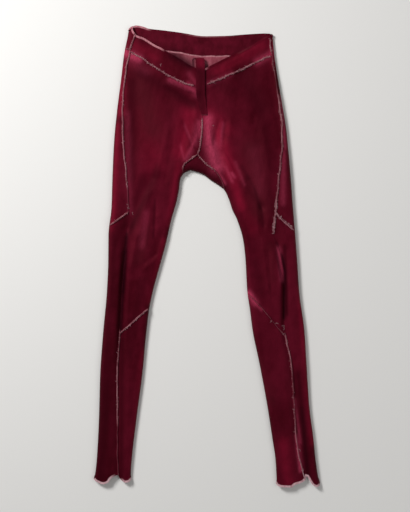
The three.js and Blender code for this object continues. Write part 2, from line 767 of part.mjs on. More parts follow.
const bandEnds = {};
for (const [name, leg] of Object.entries(legs)) {
  const starts = frontStarts(name);
  const ends = backEnds(name);
  const shownSide = sideSeam(leg);
  const bendTo = (at) => (x, layer, up) => at(x) - up;

  // Front waistband half: from the V to the seam under it.
  const bandStarts = between(bandRows, waistFrontAt(centreFrontAt(433)), seamCentreUp)
    .map((up, i) => ({ up, across: centreFrontAt(up), wraps: 0, fine: 0, side: leg.bandUps[i] }));
  const frontRow = (start, bend) => innerRow(leg, start, start.side, bend);
  const bandGrid = panelRows(bandStarts, frontRow, bendTo(waistFrontAt), bendTo(seamFrontAt));
  addPiece(`waistband_front_${name}`, panel(bandGrid, {
    first: 'raw', last: turnedUp, start: butted, end: shownSide,
  }), 1.1);

  // Front panel: thigh and knee, round the inner fold to the inseam.
  const sideUps = [...leg.thighUps, ...leg.kneeUps.slice(1)];
  const frontGrid = panelRows(starts.map((start, i) => ({ ...start, side: sideUps[i] })),
    frontRow, bendTo(seamFrontAt));
  addPiece(`front_panel_${name}`, panel(frontGrid, {
    first: turnedUp, last: turnedUp, start: turnedUp, end: shownSide,
  }));

  // Inner calf: below the slanting knee seam, round the inner fold to the inseam.
  const hemBend = (x, layer, up) => (layer < 0 ? leg.hemUnderAt(x) : leg.hemAt(x)) - up;
  const calfStarts = leg.calfKnots.map((point, i) => (
    { ...point, wraps, inset: inseamInset, fine: 1, side: leg.calfUps[i] }));
  const calfGrid = panelRows(calfStarts, frontRow, undefined, hemBend);
  addPiece(`lower_inner_${name}`, panel(calfGrid, {
    first: turnedUp, last: 'raw', start: turnedUp, end: shownSide,
  }), 0.9);

  // Back panel: from the side seam round the outer fold, the seat and the back of the thigh.
  const backRow = (end, bend) => outerRow(leg, end.side, end, bend);
  const backGrid = panelRows(ends.map((end, i) => ({ ...end, side: leg.thighUps[i] })), backRow,
    bendTo(seamBackAt), kneeBend(leg));
  addPiece(`back_panel_${name}`, panel(backGrid, {
    first: turnedUp, last: turnedUp, start: shownSide, end: turnedUp,
  }), 0.95);

  // Outer calf: below the outer knee seam, round the outer fold and under the whole calf.
  const calfSides = [...leg.kneeUps, ...leg.calfUps.slice(1)];
  calfSides[calfSides.length - 1] = leg.hemSide.outer;
  const lowerGrid = panelRows(halved(leg.calfKnots).map((end, i) => ({ ...end, side: calfSides[i] })), backRow,
    kneeBend(leg), hemBend);
  addPiece(`lower_outer_${name}`, panel(lowerGrid, {
    first: turnedUp, last: 'raw', start: shownSide, end: turnedUp,
  }));

  // Half of the back waistband: from the side seam round the outer fold to the centre back.
  const halfEnds = between(bandRows, waistBackAt(centreBackAt(513)), backCentreUp)
    .map((up, i) => ({ up, across: centreBackAt(up), side: leg.bandUps[i] }));
  bandEnds[name] = panelRows(halfEnds, backRow, bendTo(waistBackAt), bendTo(seamBackAt));
}

// The outer knee seam drops from the side seam to the outer fold, then slants under the leg.
function kneeBend(leg) {
  return (x, layer, up, k, part, edgePart) => {
    const { side, edge } = leg.kneeOuter;
    const straight = mix(side, edge, part / edgePart);
    const slant = mix(edge, leg.kneeUnder, (part - edgePart) / (1 - edgePart));
    return (part < edgePart ? straight : slant) - up;
  };
}

// The back waistband is one strip, so its two halves join in one grid at the centre back.
const bandGrid = bandEnds.right.map((row, i) => [...row, ...[...bandEnds.left[i]].reverse().slice(1)]);
addPiece('waistband_back', panel(bandGrid, {
  first: 'raw', last: turnedUp, start: sideSeam(legs.right), end: sideSeam(legs.left),
}), 0.85);

// The gusset: rows from the head of one inseam to the other, each from the front seam over the
// crotch fold to the back seam. Its front columns run out where the front seam reaches the fold.
function gussetRows() {
  const under = 4;
  const columns = wraps + under;
  const gussetEnd = frontRows.centre + frontRows.gusset + 1;
  const frontSeam = (name) => frontStarts(name).slice(frontRows.centre, gussetEnd);
  const backSeam = (name) => {
    const knots = [crotchBack, gusset[name].backMiddle, legs[name].thighKnots[0]];
    return halved(halved(knots));
  };
  const half = (name) => {
    const leg = legs[name];
    const front = frontSeam(name);
    const back = backSeam(name);
    const foldStart = crotchTop.up - 0.5;
    const foldEnd = front[wraps].up;
    return front.map((start, i) => {
      const onTop = Math.max(wraps - i, 0);
      const foldUp = mix(foldStart, foldEnd, Math.min(i / wraps, 1) ** 1.7);
      const fold = { up: foldUp, across: i === 0 ? crotchTop.inner : leg.innerAt(foldUp) };
      if (i === 0) fold.up = crotchTop.up;
      const corner = i <= wraps ? fold : start;
      const row = [];
      for (let k = 0; k <= columns; k += 1) {
        const top = k < onTop;
        const below = ((k - onTop) / (columns - onTop)) ** (i > wraps ? 1 : 1.6);
        const share = top ? 1 - (1 - k / onTop) ** 2 : below;
        const [from, to] = top ? [start, fold] : [corner, back[i]];
        const layer = i > wraps ? -1 : Math.sign(onTop - k);
        row.push({ x: mix(from.across, to.across, share), y: mix(from.up, to.up, share), layer });
      }
      return row;
    });
  };
  const tipShare = 0.35;
  const shorten = (rows) => {
    const tip = rows[rows.length - 1];
    const before = rows[rows.length - 2];
    rows[rows.length - 1] = tip.map((point, k) => ({
      x: mix(before[k].x, point.x, tipShare), y: mix(before[k].y, point.y, tipShare), layer: -1,
    }));
    return rows;
  };
  return [...shorten(half('right')).reverse(), ...shorten(half('left')).slice(1)];
}
const gussetGap = 0.45;
const gussetEdges = { first: butted, last: butted, start: turnedUp, end: turnedUp };
addPiece('crotch_gusset', panel(gussetRows(), gussetEdges, gussetGap), 0.8);

// The strap: up the centre front on the panels, over the waist edge in a loop and back down inside.
function strap() {
  const loop = { up: 457, middle: 8.2, radius: 3.6, back: 424 };
  const half = wall / 2;
  const top = strapRows[strapRows.length - 1];
  const sideSteps = 4;
  const onPanel = (x, y) => facePoint(x, Math.min(y, 428), 1).at.z + strapLift + half;
  const path = [];
  for (let i = 0; i <= 8; i += 1) path.push({ up: mix(top.up, 432, i / 8) });
  path.push({ up: 444 });
  const turns = 6;
  for (let i = 0; i <= turns; i += 1) {
    const angle = Math.PI * (i / turns);
    const crest = {
      up: loop.up + loop.radius * Math.sin(angle),
      z: loop.middle + loop.radius * Math.cos(angle),
    };
    path.push(crest);
  }
  path.push({ up: 440, z: loop.middle - loop.radius });
  path.push({ up: loop.back, z: loop.middle - loop.radius });
  const line = path.map(({ up, z }) => {
    const [across, reach] = [strapAcrossAt(up), strapHalfAt(up)];
    return Array.from({ length: sideSteps + 1 }, (_, k) => {
      const x = across + reach * (2 * k / sideSteps - 1);
      return new THREE.Vector3(x, up, z ?? onPanel(x, up));
    });
  });
  const shift = (sign) => line.map((row, i) => row.map((point, k) => {
    const next = line[Math.min(i + 1, line.length - 1)][k];
    const last = line[Math.max(i - 1, 0)][k];
    const across = row[Math.min(k + 1, sideSteps)].clone().sub(row[Math.max(k - 1, 0)]);
    const normal = across.cross(next.clone().sub(last)).normalize();
    return point.clone().addScaledVector(normal, sign * half);
  }));
  return closedWall(shift(1), shift(-1));
}
addPiece('front_strap', strap(), 0.7);

export default garment;
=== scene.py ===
import math

import bpy
import numpy as np
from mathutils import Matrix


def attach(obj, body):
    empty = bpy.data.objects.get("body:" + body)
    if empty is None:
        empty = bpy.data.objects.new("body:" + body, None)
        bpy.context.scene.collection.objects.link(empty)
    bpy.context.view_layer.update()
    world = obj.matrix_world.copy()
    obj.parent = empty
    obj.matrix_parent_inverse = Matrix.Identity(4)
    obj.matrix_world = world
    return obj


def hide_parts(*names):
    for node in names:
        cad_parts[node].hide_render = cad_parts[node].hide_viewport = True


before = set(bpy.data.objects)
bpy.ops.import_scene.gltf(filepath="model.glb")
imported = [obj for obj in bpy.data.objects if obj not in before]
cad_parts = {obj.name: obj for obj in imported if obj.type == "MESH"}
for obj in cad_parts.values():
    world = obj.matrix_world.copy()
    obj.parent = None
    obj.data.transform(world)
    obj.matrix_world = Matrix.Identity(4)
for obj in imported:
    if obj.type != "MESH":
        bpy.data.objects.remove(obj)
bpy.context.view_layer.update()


# Seat and thigh backs: two large hides of soft crimson leather that lie flat on the surface. Each
# comes round the outer fold to the side seam on top, and ends at the slanting outer knee seam.

# Sizes are in millimetres until a mesh is made: the hide's thickness, half the gap at a seam, the
# height of a fold's foremost line, how far the folds round in above and below, how far the inseam
# lies from the inner fold, and the least height of the top layer.
WALL = 1.2
HALF_GAP = 0.12
FOLD_MIDDLE = 5.0
TOP_ROLL = 11.0
UNDER_ROLL = 5.0
INSEAM_INSET = 12.0
LEAST_HEIGHT = 3.6
MM_IN_M = 1000

# Rows of a panel's mesh for each of its rows in ROWS.
FINE = 5


def table(names, *rows):
    """Rows of a short table as dictionaries, one key for each column's name."""
    return [dict(zip(names.split(), row)) for row in rows]


LEGS = {
    "right": dict(
        out=-1,
        outline=table(
            "up outer side loft",
            (538, -172, -160, 8),
            (527, -181, -164, 8.5),
            (513, -183.5, -168, 9),
            (471, -192, -179.5, 10),
            (410, -199.5, -190, 11),
            (340, -208.5, -195.5, 13),
            (269, -215.5, -194.5, 14),
            (187, -219.5, -187, 14.5),
            (110, -222, -182, 14),
            (46, -229, -187, 14),
            (-13, -229.5, -192.5, 14),
            (-84, -232.5, -198.5, 14),
            (-189, -242, -203, 14),
            (-283, -248.5, -209, 14),
            (-377, -251, -208.5, 13.5),
            (-460, -255, -209, 13),
            (-506, -259, -207, 12.5),
            (-540, -265, -204.5, 12),
        ),
        inner=table(
            "up inner",
            (197, -36),
            (194, -46),
            (187, -55),
            (173, -61),
            (151, -63.5),
            (128, -68),
            (104, -75),
            (81, -81.5),
            (34, -92),
            (-13, -104.5),
            (-84, -124),
            (-130, -133.5),
            (-189, -140.5),
            (-283, -149.5),
            (-377, -162),
            (-460, -172),
            (-506, -176),
            (-540, -177),
        ),
        trough=table(
            "up across depth width",
            (160, -184, 0, 14),
            (105, -182.5, 3, 13),
            (46, -187, 8, 11),
            (-13, -192, 9.5, 7.5),
            (-84, -198, 10, 6.5),
            (-189, -202, 9, 8),
            (-283, -206, 8, 12),
            (-377, -205, 8.5, 12),
            (-460, -206, 9, 12),
            (-540, -202, 8, 12),
        ),
        hem=table(
            "across up",
            (-265, -523),
            (-257, -531.5),
            (-241, -537.5),
            (-229, -533),
            (-222, -523),
            (-207, -517),
            (-203, -524),
            (-197, -530),
            (-188, -534),
            (-180, -531.5),
            (-177, -527),
        ),
        hem_under=table("across up", (-265, -523), (-225, -512), (-190, -514), (-177, -527)),
        tuck=dict(from_up=114, to_up=100),
        knee_outer=dict(side=100.5, edge=66),
        knee_inner=dict(side=-187, edge=-123.5),
        hem_side=dict(outer=-517, inner=-522),
        gusset_front=[(-20, 234), (-37.5, 222), (-51, 212), (-55, 200)],
        gusset_wrap=[187, 183, 178, 171, 160],
        gusset_back=(-65, 203),
    ),
    "left": dict(
        out=1,
        outline=table(
            "up outer side loft",
            (518, 155.5, 148, 8),
            (471, 160, 153, 9.5),
            (410, 169, 162, 11),
            (354, 178.5, 170.5, 12.5),
            (297, 188, 177.5, 13.5),
            (257, 192, 177.5, 14),
            (187, 198.5, 171, 14.5),
            (107, 204.5, 163, 14),
            (46, 209.5, 157.5, 14),
            (-13, 214, 171.5, 14),
            (-84, 218.5, 182, 14),
            (-180, 231, 184.5, 14),
            (-257, 236, 199, 14),
            (-351, 242, 205, 13.5),
            (-431, 252, 210, 13.5),
            (-483, 257.5, 219, 13),
            (-525, 263.5, 230, 12.5),
            (-547, 267, 233, 12),
        ),
        inner=table(
            "up inner",
            (197, -36),
            (194, -24),
            (187, -6),
            (175, 9.5),
            (161, 31),
            (151, 43),
            (128, 54),
            (104, 62),
            (81, 73),
            (34, 87),
            (-13, 92.5),
            (-84, 96.5),
            (-130, 103),
            (-180, 109.5),
            (-257, 125.5),
            (-351, 143),
            (-431, 155.5),
            (-483, 163),
            (-547, 166.5),
        ),
        trough=table(
            "up across depth width",
            (110, 163, 0, 14),
            (40, 164, 4, 12),
            (-13, 174, 8.5, 8),
            (-84, 184, 10, 6.5),
            (-140, 183.5, 9.5, 7),
            (-202, 190, 8, 10),
            (-257, 204, 7.5, 12),
            (-351, 217, 8.5, 13),
            (-431, 221, 9, 13),
            (-483, 229, 9, 12),
            (-547, 243, 8, 11),
        ),
        hem=table(
            "across up",
            (166, -536),
            (168, -541),
            (180, -544.5),
            (200, -545),
            (208, -539),
            (224, -534),
            (231, -529),
            (236, -519),
            (244, -530.5),
            (250, -539.5),
            (259, -544),
            (266, -541),
        ),
        hem_under=table("across up", (166, -536), (185, -518), (235, -512), (255, -520), (266, -541)),
        tuck=dict(from_up=58, to_up=42),
        knee_outer=dict(side=97.5, edge=54.5),
        knee_inner=dict(side=-194, edge=-88),
        hem_side=dict(outer=-518.5, inner=-529),
        gusset_front=[(-20, 234), (1, 211), (21, 196), (39, 168)],
        gusset_wrap=[143, 139, 134, 127, 115],
        gusset_back=(51, 172),
    ),
}

# Folds of the top layer as straight runs, raised where the height is above 0.
FOLDS = table(
    "from_x from_y to_x to_y width height",
    (-138, 138, -155, 50, 14, 3),
    (-155, 50, -174, -25, 12, 2.5),
    (-131, 180, -184, 64, 13, -4),
    (-155, 412, -34, 352, 18, -3.5),
    (-84, 404, -24, 376, 8, 2.5),
    (-164, 448, -140, 392, 20, 2),
    (4, 304, 15, 222, 12, 2.5),
    (44, 250, 62, 158, 12, 2.5),
    (24, 290, 36, 215, 9, -2.5),
    (100, 172, 131, 112, 8, -3.5),
    (131, 112, 134, 70, 8, -3.5),
    (90, 410, 130, 340, 20, -3),
    (-100, 60, -122, 0, 10, -2),
    (116, 40, 124, -60, 12, -2),
)

# Finer creases of the top layer, in the same columns, and those pressed into the underside.
CREASES = table(
    "from_x from_y to_x to_y width height",
    (-51, 218, -18, 277, 4.5, 2.4),
    (-55, 311, -32, 262, 5, -2.4),
    (-44, 250, -24, 300, 4, 1.6),
    (-66, 228, -50, 292, 6, -2.0),
    (-74, 262, -62, 308, 5, 1.3),
    (-34, 330, -20, 296, 4, -1.2),
    (7, 290, 18, 232, 5, 2.0),
    (30, 318, 16, 256, 5, -2.4),
    (45, 311, 38, 236, 5, -2.4),
    (36, 300, 30, 250, 4, 1.8),
    (33, 250, 61, 200, 4, 1.8),
    (21, 214, 46, 166, 4.5, 2.0),
    (47, 240, 78, 178, 5, -2.0),
    (61, 222, 94, 152, 4.5, 1.5),
    (58, 330, 54, 262, 7, 1.4),
    (-89, 292, -113, 187, 9, 1.3),
    (-75, 268, -98, 172, 7, -1.4),
    (-131, 105, -141, 22, 6, 1.6),
    (-117, 116, -120, 46, 4.5, -1.5),
    (-130, 80, -108, 92, 4, 1.0),
    (-128, 66, -106, 74, 3.5, -1.0),
    (-143, -18, -117, 1, 4, -1.6),
    (-147, -36, -119, -14, 5, 1.4),
    (-163, 40, -176, -40, 6, 1.6),
    (-186, 2, -192, -110, 4, -2.0),
    (-200, -20, -206, -160, 6, 1.6),
    (-180, -60, -184, -180, 5, 1.4),
    (132, 34, 146, -83, 6, 1.4),
    (146, 10, 154, -107, 4.5, -1.6),
    (166, -14, 176, -74, 4.5, 2.2),
    (160, 40, 166, -10, 5, 1.2),
    (186, 10, 192, -60, 4, -1.8),
    (150, 130, 158, 60, 6, 1.2),
    (118, 120, 121, 60, 5, 1.2),
    (104, -62, 126, -100, 5, 1.2),
    (110, -90, 140, -128, 5, -1.0),
    (142, -320, 176, -349, 7, 1.2),
    (134, -330, 168, -364, 7, -1.2),
    (181, -283, 204, -436, 6, 1.5),
    (210, -330, 225, -470, 5, 1.6),
    (214, -120, 226, -240, 6, -1.2),
    (-178, -250, -184, -400, 7, 1.2),
    (-166, -280, -176, -420, 6, -1.1),
    (-222, -260, -228, -420, 7, -1.2),
    (-232, -300, -240, -450, 6, 1.0),
    (-226, -480, -232, -534, 5, 1.4),
    (-245, -490, -250, -536, 5, -1.2),
    (-190, -490, -190, -534, 5, 1.2),
    (190, -500, 192, -546, 6, 1.0),
    (214, -500, 218, -538, 6, -1.2),
    (250, -500, 254, -544, 5, 1.2),
    (-190, 440, -176, 300, 8, 1.0),
    (-120, 430, -60, 400, 5, 1.2),
    (-96, 398, -30, 364, 7, 2.2),
    (-30, 366, -22, 330, 5, 1.6),
    (20, 420, 80, 446, 5, 1.0),
    (24, 396, 96, 430, 7, -1.4),
    (-150, 492, -60, 440, 5, 1.0),
    (-130, 470, -70, 432, 5, -0.9),
    (40, 440, 120, 486, 5, 1.2),
    (146, 430, 168, 300, 8, -1.2),
    (130, 300, 150, 180, 10, 1.4),
    (112, 320, 132, 190, 8, -1.2),
)
UNDER_CREASES = table(
    "from_x from_y to_x to_y width height",
    (-120, 250, 60, 262, 9, 0.9),
    (-150, 225, -60, 246, 7, 0.7),
    (-140, 60, -80, 44, 6, 0.8),
    (-190, 20, -110, 34, 7, 0.9),
    (-200, -10, -120, -26, 6, 0.7),
    (100, 50, 190, 30, 7, 0.9),
    (110, -10, 200, 4, 6, 0.8),
    (120, -40, 190, -56, 6, 0.6),
    (-40, 440, -14, 260, 10, 0.6),
    (-160, 400, -60, 300, 12, 0.5),
    (40, 300, 150, 410, 12, 0.5),
    (-225, -250, -205, -440, 9, 0.7),
    (190, -260, 226, -440, 9, 0.7),
    (160, -420, 200, -470, 7, 0.6),
    (-230, -470, -190, -430, 7, 0.6),
)


def curve(rows, key, along="up"):
    """A smooth line through a table's rows that never overshoots them, straight beyond its ends."""
    rows = sorted(rows, key=lambda row: row[along])
    at = np.array([row[along] for row in rows], float)
    value = np.array([row[key] for row in rows], float)
    slope = np.diff(value) / np.diff(at)
    before, after = slope[:-1], slope[1:]
    total = np.where(before * after > 0, before + after, 1)
    inner = np.where(before * after > 0, 2 * before * after / total, 0)
    tangent = np.concatenate([slope[:1], inner, slope[-1:]])

    def read(t):
        t = np.asarray(t, float)
        i = np.clip(np.searchsorted(at, t, side="right") - 1, 0, len(at) - 2)
        span = at[i + 1] - at[i]
        u = np.clip((t - at[i]) / span, 0, 1)
        rise = value[i + 1] - value[i]
        bow = (1 - u) * (tangent[i] * span - rise) - u * (tangent[i + 1] * span - rise)
        inside = value[i] + u * rise + u * (1 - u) * bow
        below = np.minimum(t - at[0], 0) * tangent[0]
        above = np.maximum(t - at[-1], 0) * tangent[-1]
        return inside + below + above

    return read


def mix(a, b, t):
    """From a to b as t goes from 0 to 1."""
    return a + (b - a) * t


def smooth(t):
    """A soft step from 0 to 1."""
    u = np.clip(t, 0, 1)
    return u * u * (3 - 2 * u)


# How many waves are added up, how far their lengths vary, and what brings their sum to about 1.
WAVE_COUNT = 6
WAVE_SCALES = (0.7, 1.4)
WAVE_SUM = 3.5


def waves(x, y, length, seed, stretch=1.0):
    """Gentle unevenness between -1 and 1, with waves about that long, longer along the legs."""
    random = np.random.RandomState(seed)
    total = np.zeros(np.shape(x))
    for _ in range(WAVE_COUNT):
        angle, phase = random.uniform(0, 2 * math.pi, 2)
        scale = random.uniform(*WAVE_SCALES)
        step = 2 * math.pi * scale / length
        total = total + np.sin(step * (x * math.cos(angle) + y * math.sin(angle) / stretch) + phase)
    return total / WAVE_SUM


WAVER_LENGTH = 30


def stray(t, size, seed):
    """How far a sewn line strays to either side along its length."""
    return size * waves(np.asarray(t, float), 0, WAVER_LENGTH, seed)


def wavering(at, size, seed):
    """A sewn line that strays a little to either side of its smooth curve."""
    return lambda t: at(t) + stray(t, size, seed)


for leg in LEGS.values():
    leg["outer_at"] = curve(leg["outline"], "outer")
    leg["side_at"] = wavering(curve(leg["outline"], "side"), size=0.8, seed=61)
    leg["loft_at"] = curve(leg["outline"], "loft")
    leg["inner_at"] = curve(leg["inner"], "inner")
    leg["hem_at"] = curve(leg["hem"], "up", "across")
    leg["hem_under_at"] = curve(leg["hem_under"], "up", "across")
    leg["trough_at"] = {key: curve(leg["trough"], key) for key in ("across", "depth", "width")}
CROTCH_TOP = LEGS["right"]["inner"][0]


# The outline's runs: their mean length, how far they pass the waist, the height below the hems
# where they end, and how much they crowd towards the top.
RUNS = dict(length=4, over_waist=8, below_hems=-560, crowding=1.3)


def outline_runs():
    """The folded outline as short straight runs: outer edges, and inner ones joined at the crotch."""
    starts, ends = [], []
    for leg in LEGS.values():
        waist_top = leg["outline"][0]["up"] + RUNS["over_waist"]
        for at, top in ((leg["outer_at"], waist_top), (leg["inner_at"], CROTCH_TOP["up"])):
            count = round((top - RUNS["below_hems"]) / RUNS["length"])
            up = mix(top, RUNS["below_hems"], (np.arange(count + 1) / count) ** RUNS["crowding"])
            line = np.stack([at(up), up], 1)
            starts.append(line[:-1])
            ends.append(line[1:])
    return np.concatenate(starts), np.concatenate(ends)


RUN_START, RUN_END = outline_runs()


def inside_plan(x, y):
    """Whether plan points lie inside the folded outline."""
    right, left = LEGS["right"], LEGS["left"]
    within = (x > right["outer_at"](y)) & (x < left["outer_at"](y))
    in_leg = (x < right["inner_at"](y)) | (x > left["inner_at"](y))
    return within & ((y >= CROTCH_TOP["up"]) | in_leg)


def from_outline(x, y):
    """Distance of plan points to the folded outline, and the unit direction away from it."""
    shape = np.shape(x)
    points = np.stack([np.ravel(x), np.ravel(y)], 1)
    run = RUN_END - RUN_START
    length2 = (run ** 2).sum(1)
    distance = np.empty(len(points))
    away = np.empty((len(points), 2))
    chunk, probe, on_line = 1500, 3, 0.4
    for first in range(0, len(points), chunk):
        some = points[first:first + chunk]
        offset = some[:, None, :] - RUN_START[None]
        t = np.clip((offset * run[None]).sum(2) / length2, 0, 1)
        gap = offset - t[..., None] * run[None]
        square = (gap ** 2).sum(2)
        best = square.argmin(1)
        rows = np.arange(len(some))
        near = np.sqrt(square[rows, best])
        across = np.stack([-run[best, 1], run[best, 0]], 1) / np.sqrt(length2[best])[:, None]
        inside = inside_plan(some[:, 0] + across[:, 0] * probe, some[:, 1] + across[:, 1] * probe)
        normal = across * np.where(inside, 1, -1)[:, None]
        straight = gap[rows, best] / np.maximum(near, 1e-6)[:, None]
        distance[first:first + chunk] = near
        away[first:first + chunk] = np.where((near > on_line)[:, None], straight, normal)
    return distance.reshape(shape), away[:, 0].reshape(shape), away[:, 1].reshape(shape)


def near_run(run, x, y):
    """Squared distance of plan points to a straight run."""
    dx, dy = run["to_x"] - run["from_x"], run["to_y"] - run["from_y"]
    t = np.clip(((x - run["from_x"]) * dx + (y - run["from_y"]) * dy) / (dx * dx + dy * dy), 0, 1)
    return (x - run["from_x"] - t * dx) ** 2 + (y - run["from_y"] - t * dy) ** 2


# How round a crease's line is, and how fast it falls away on both sides.
CREASE_TIP = 0.4
CREASE_SHARPNESS = 0.6


def fold_heights(x, y, folds, sharp=False):
    """Height of soft troughs and ridges along straight runs, or of creases with a sharper line."""
    total = np.zeros(np.shape(x))
    for fold in folds:
        near2 = near_run(fold, x, y)
        if sharp:
            profile = np.exp(-((near2 + CREASE_TIP) / fold["width"] ** 2) ** CREASE_SHARPNESS)
        else:
            profile = np.exp(-near2 / fold["width"] ** 2)
        total = total + fold["height"] * profile
    return total


# Where the right leg's height passes into the left leg's, the swells of the top layer and of the
# underside, and how softly the top layer settles on its least height.
LEGS_MEET = dict(start=-60, over=80)
SWELLS = table("size length seed stretch", (0.6, 55, 3, 2.2), (0.17, 18, 5, 2.0))
UNDER_SWELL = dict(size=0.22, length=34, seed=8)
SETTLING = 0.5


def loft(x, y):
    """Height of the top layer over the surface, before its round fold down to the outline."""
    right, left = LEGS["right"], LEGS["left"]
    share = smooth((x - LEGS_MEET["start"]) / LEGS_MEET["over"])
    height = mix(right["loft_at"](y), left["loft_at"](y), share)
    for leg in (right, left):
        at = leg["trough_at"]
        sunk = np.where(y > leg["trough"][0]["up"], 0, np.maximum(at["depth"](y), 0))
        height = height - sunk * np.exp(-((x - at["across"](y)) / at["width"](y)) ** 2)
    height = height + fold_heights(x, y, FOLDS) + fold_heights(x, y, CREASES, sharp=True)
    for swell in SWELLS:
        raised = waves(x, y, swell["length"], swell["seed"], swell["stretch"])
        height = height + swell["size"] * raised
    spare = height - LEAST_HEIGHT
    return LEAST_HEIGHT + (spare + np.sqrt(spare * spare + SETTLING)) / 2


def face_points(x, y, layer):
    """Points of the leather's outer face, their normals and how far in they lie.
    layer is 1 on top, -1 underneath and 0 on the fold."""
    distance, away_x, away_y = from_outline(x, y)
    over = layer >= 0
    roll = np.where(over, TOP_ROLL, UNDER_ROLL)
    t = np.where(layer == 0, 0, np.minimum(distance / roll, 1))
    arc = np.sqrt(2 * t - t * t)
    height = loft(x, y)
    step = 0.8
    slope_x = (loft(x + step, y) - loft(x - step, y)) / (2 * step)
    slope_y = (loft(x, y + step) - loft(x, y - step)) / (2 * step)
    lean = np.where(over, height - FOLD_MIDDLE, FOLD_MIDDLE) * (1 - t) / roll
    normal = np.stack([
        np.where(over, -slope_x * arc * arc, 0) - lean * away_x,
        np.where(over, -slope_y * arc * arc, 0) - lean * away_y,
        np.where(over, arc, -arc),
    ], -1)
    normal = normal / np.maximum(np.linalg.norm(normal, axis=-1, keepdims=True), 1e-9)
    swell = UNDER_SWELL["size"] * waves(x, y, UNDER_SWELL["length"], UNDER_SWELL["seed"])
    pressed = np.maximum(fold_heights(x, y, UNDER_CREASES) + swell, 0) * arc
    z = np.where(over, FOLD_MIDDLE + (height - FOLD_MIDDLE) * arc, FOLD_MIDDLE * (1 - arc) + pressed)
    return np.stack([x, y, z], -1), normal, distance


# Columns of an outer panel on top, round the fold and underneath, how far the middle ones reach
# under it, how much the top ones crowd towards it, and how often a row is fitted to a slanting seam.
OUTER_COLUMNS = (24, 7, 14)
ROLL_REACH = 6.75
TOP_CROWDING = 1.7
FITTINGS = 3


def outer_row(leg, side_up, end_up, end_x, bend=None, off=None):
    """One row from the side seam round the outer fold and under the leg to the inseam or centre."""
    top, roll, under = OUTER_COLUMNS
    steps = ROLL_REACH * (np.arange(roll) + 0.5) ** 2 / (roll - 0.5) ** 2
    middle = (side_up + end_up) / 2
    depth = abs(float(leg["outer_at"](side_up) - leg["side_at"](side_up)))
    width = abs(float(leg["outer_at"](middle) - end_x))
    fold = (1 - np.arange(top + 1) / top) ** TOP_CROWDING
    share = np.arange(1, under + 1) / under
    gone = np.concatenate([depth * (1 - fold), depth + steps, depth + mix(steps[-1], width, share)])
    part = gone / (depth + width)
    layer = np.concatenate([np.ones(top), [0], -np.ones(roll + under)])
    up = mix(side_up, end_up, part)

    def across(at):
        edge = leg["outer_at"](at)
        over = mix(edge[:top + 1], leg["side_at"](at[:top + 1]), fold)
        rolled = edge[top + 1:top + 1 + roll] - leg["out"] * steps
        rest = mix(edge[top + 1 + roll:] - leg["out"] * steps[-1], end_x, share)
        x = np.concatenate([over, rolled, rest])
        x[-1] = end_x
        return x

    y = up
    if bend is not None:
        for _ in range(FITTINGS):
            y = bend(across(y), layer, up, part, depth / (depth + width))
    if off is not None:
        y = up + off
    return np.stack([across(y), y, layer], -1)


def panel_rows(count, row_at, first_bend=None, last_bend=None):
    """Rows from the first to the last. Towards the middle they take on less of the end rows' shapes."""
    def off(t, bend):
        if bend is None:
            return 0
        return row_at(t, bend=bend)[:, 1] - row_at(t)[:, 1]

    first_off, last_off = off(0, first_bend), off(1, last_bend)
    rows = []
    for i in range(count + 1):
        t = i / count
        if i == 0 and first_bend is not None:
            rows.append(row_at(0, bend=first_bend))
        elif i == count and last_bend is not None:
            rows.append(row_at(1, bend=last_bend))
        else:
            rows.append(row_at(t, off=(1 - t) ** 2 * first_off + t ** 3 * last_off))
    return np.stack(rows)


WAIST_FRONT = table(
    "across up",
    (-172, 532),
    (-164, 515),
    (-145, 506.5),
    (-134, 500),
    (-111, 486.5),
    (-90, 475),
    (-55, 454),
    (-29, 439),
    (-10.5, 433.5),
    (8, 441),
    (37, 455.5),
    (58, 466),
    (82, 476.5),
    (112, 493),
    (139, 510),
    (154, 515.5),
)
SEAM_FRONT = table(
    "across up",
    (-190, 481.5),
    (-164, 467),
    (-147, 458),
    (-126, 443),
    (-104, 429.5),
    (-83, 416),
    (-62, 406.5),
    (-40, 398),
    (-10.5, 393.5),
    (12, 403),
    (33, 411),
    (52, 419.5),
    (87, 435),
    (112, 448),
    (142, 461.5),
    (160, 467),
)
SEAM_BACK = table(
    "across up",
    (-192, 482),
    (-90, 477),
    (-47, 471),
    (-4, 465),
    (55, 466),
    (160, 467),
)
CENTRE_BACK = table("up across", (513, -9.5), (245, -19))
waist_front_at = wavering(curve(WAIST_FRONT, "up", "across"), size=0.6, seed=62)
seam_front_at = wavering(curve(SEAM_FRONT, "up", "across"), size=0.9, seed=63)
seam_back_at = wavering(curve(SEAM_BACK, "up", "across"), size=0.9, seed=64)
centre_back_at = curve(CENTRE_BACK, "across")
SEAM_BACK_UP = 465
CROTCH_BACK_UP = 245
HEM_UP = -525
WRAPS = 4
ROWS = dict(band=3, thigh=14, knee=11, calf=11, centre=5, gusset=8, back_centre=6, back_gusset=2)


def crossing(side_at, seam_at, guess):
    """Where the side seam crosses a seam that runs across the garment, found by halving the miss."""
    up, rounds = guess, 30
    for _ in range(rounds):
        up = mix(up, float(seam_at(side_at(up))), 0.5)
    return up


for leg in LEGS.values():
    leg["waist_side"] = crossing(leg["side_at"], waist_front_at, guess=514)
    leg["seam_side"] = crossing(leg["side_at"], seam_front_at, guess=470)
    knee = leg["knee_inner"]
    knee_width = abs(float(leg["side_at"](knee["side"]) - leg["inner_at"](knee["edge"])))
    leg["knee_under"] = knee["edge"] + (knee["edge"] - knee["side"]) / knee_width * INSEAM_INSET
    leg["head_up"] = leg["gusset_wrap"][WRAPS]
    inseam_x = float(leg["inner_at"](HEM_UP)) + leg["out"] * INSEAM_INSET
    leg["hem_inseam"] = float(leg["hem_under_at"](inseam_x))


def inseam_at(leg, up):
    """The inseam lies underneath, a little way in from the inner fold."""
    return leg["inner_at"](up) + leg["out"] * INSEAM_INSET


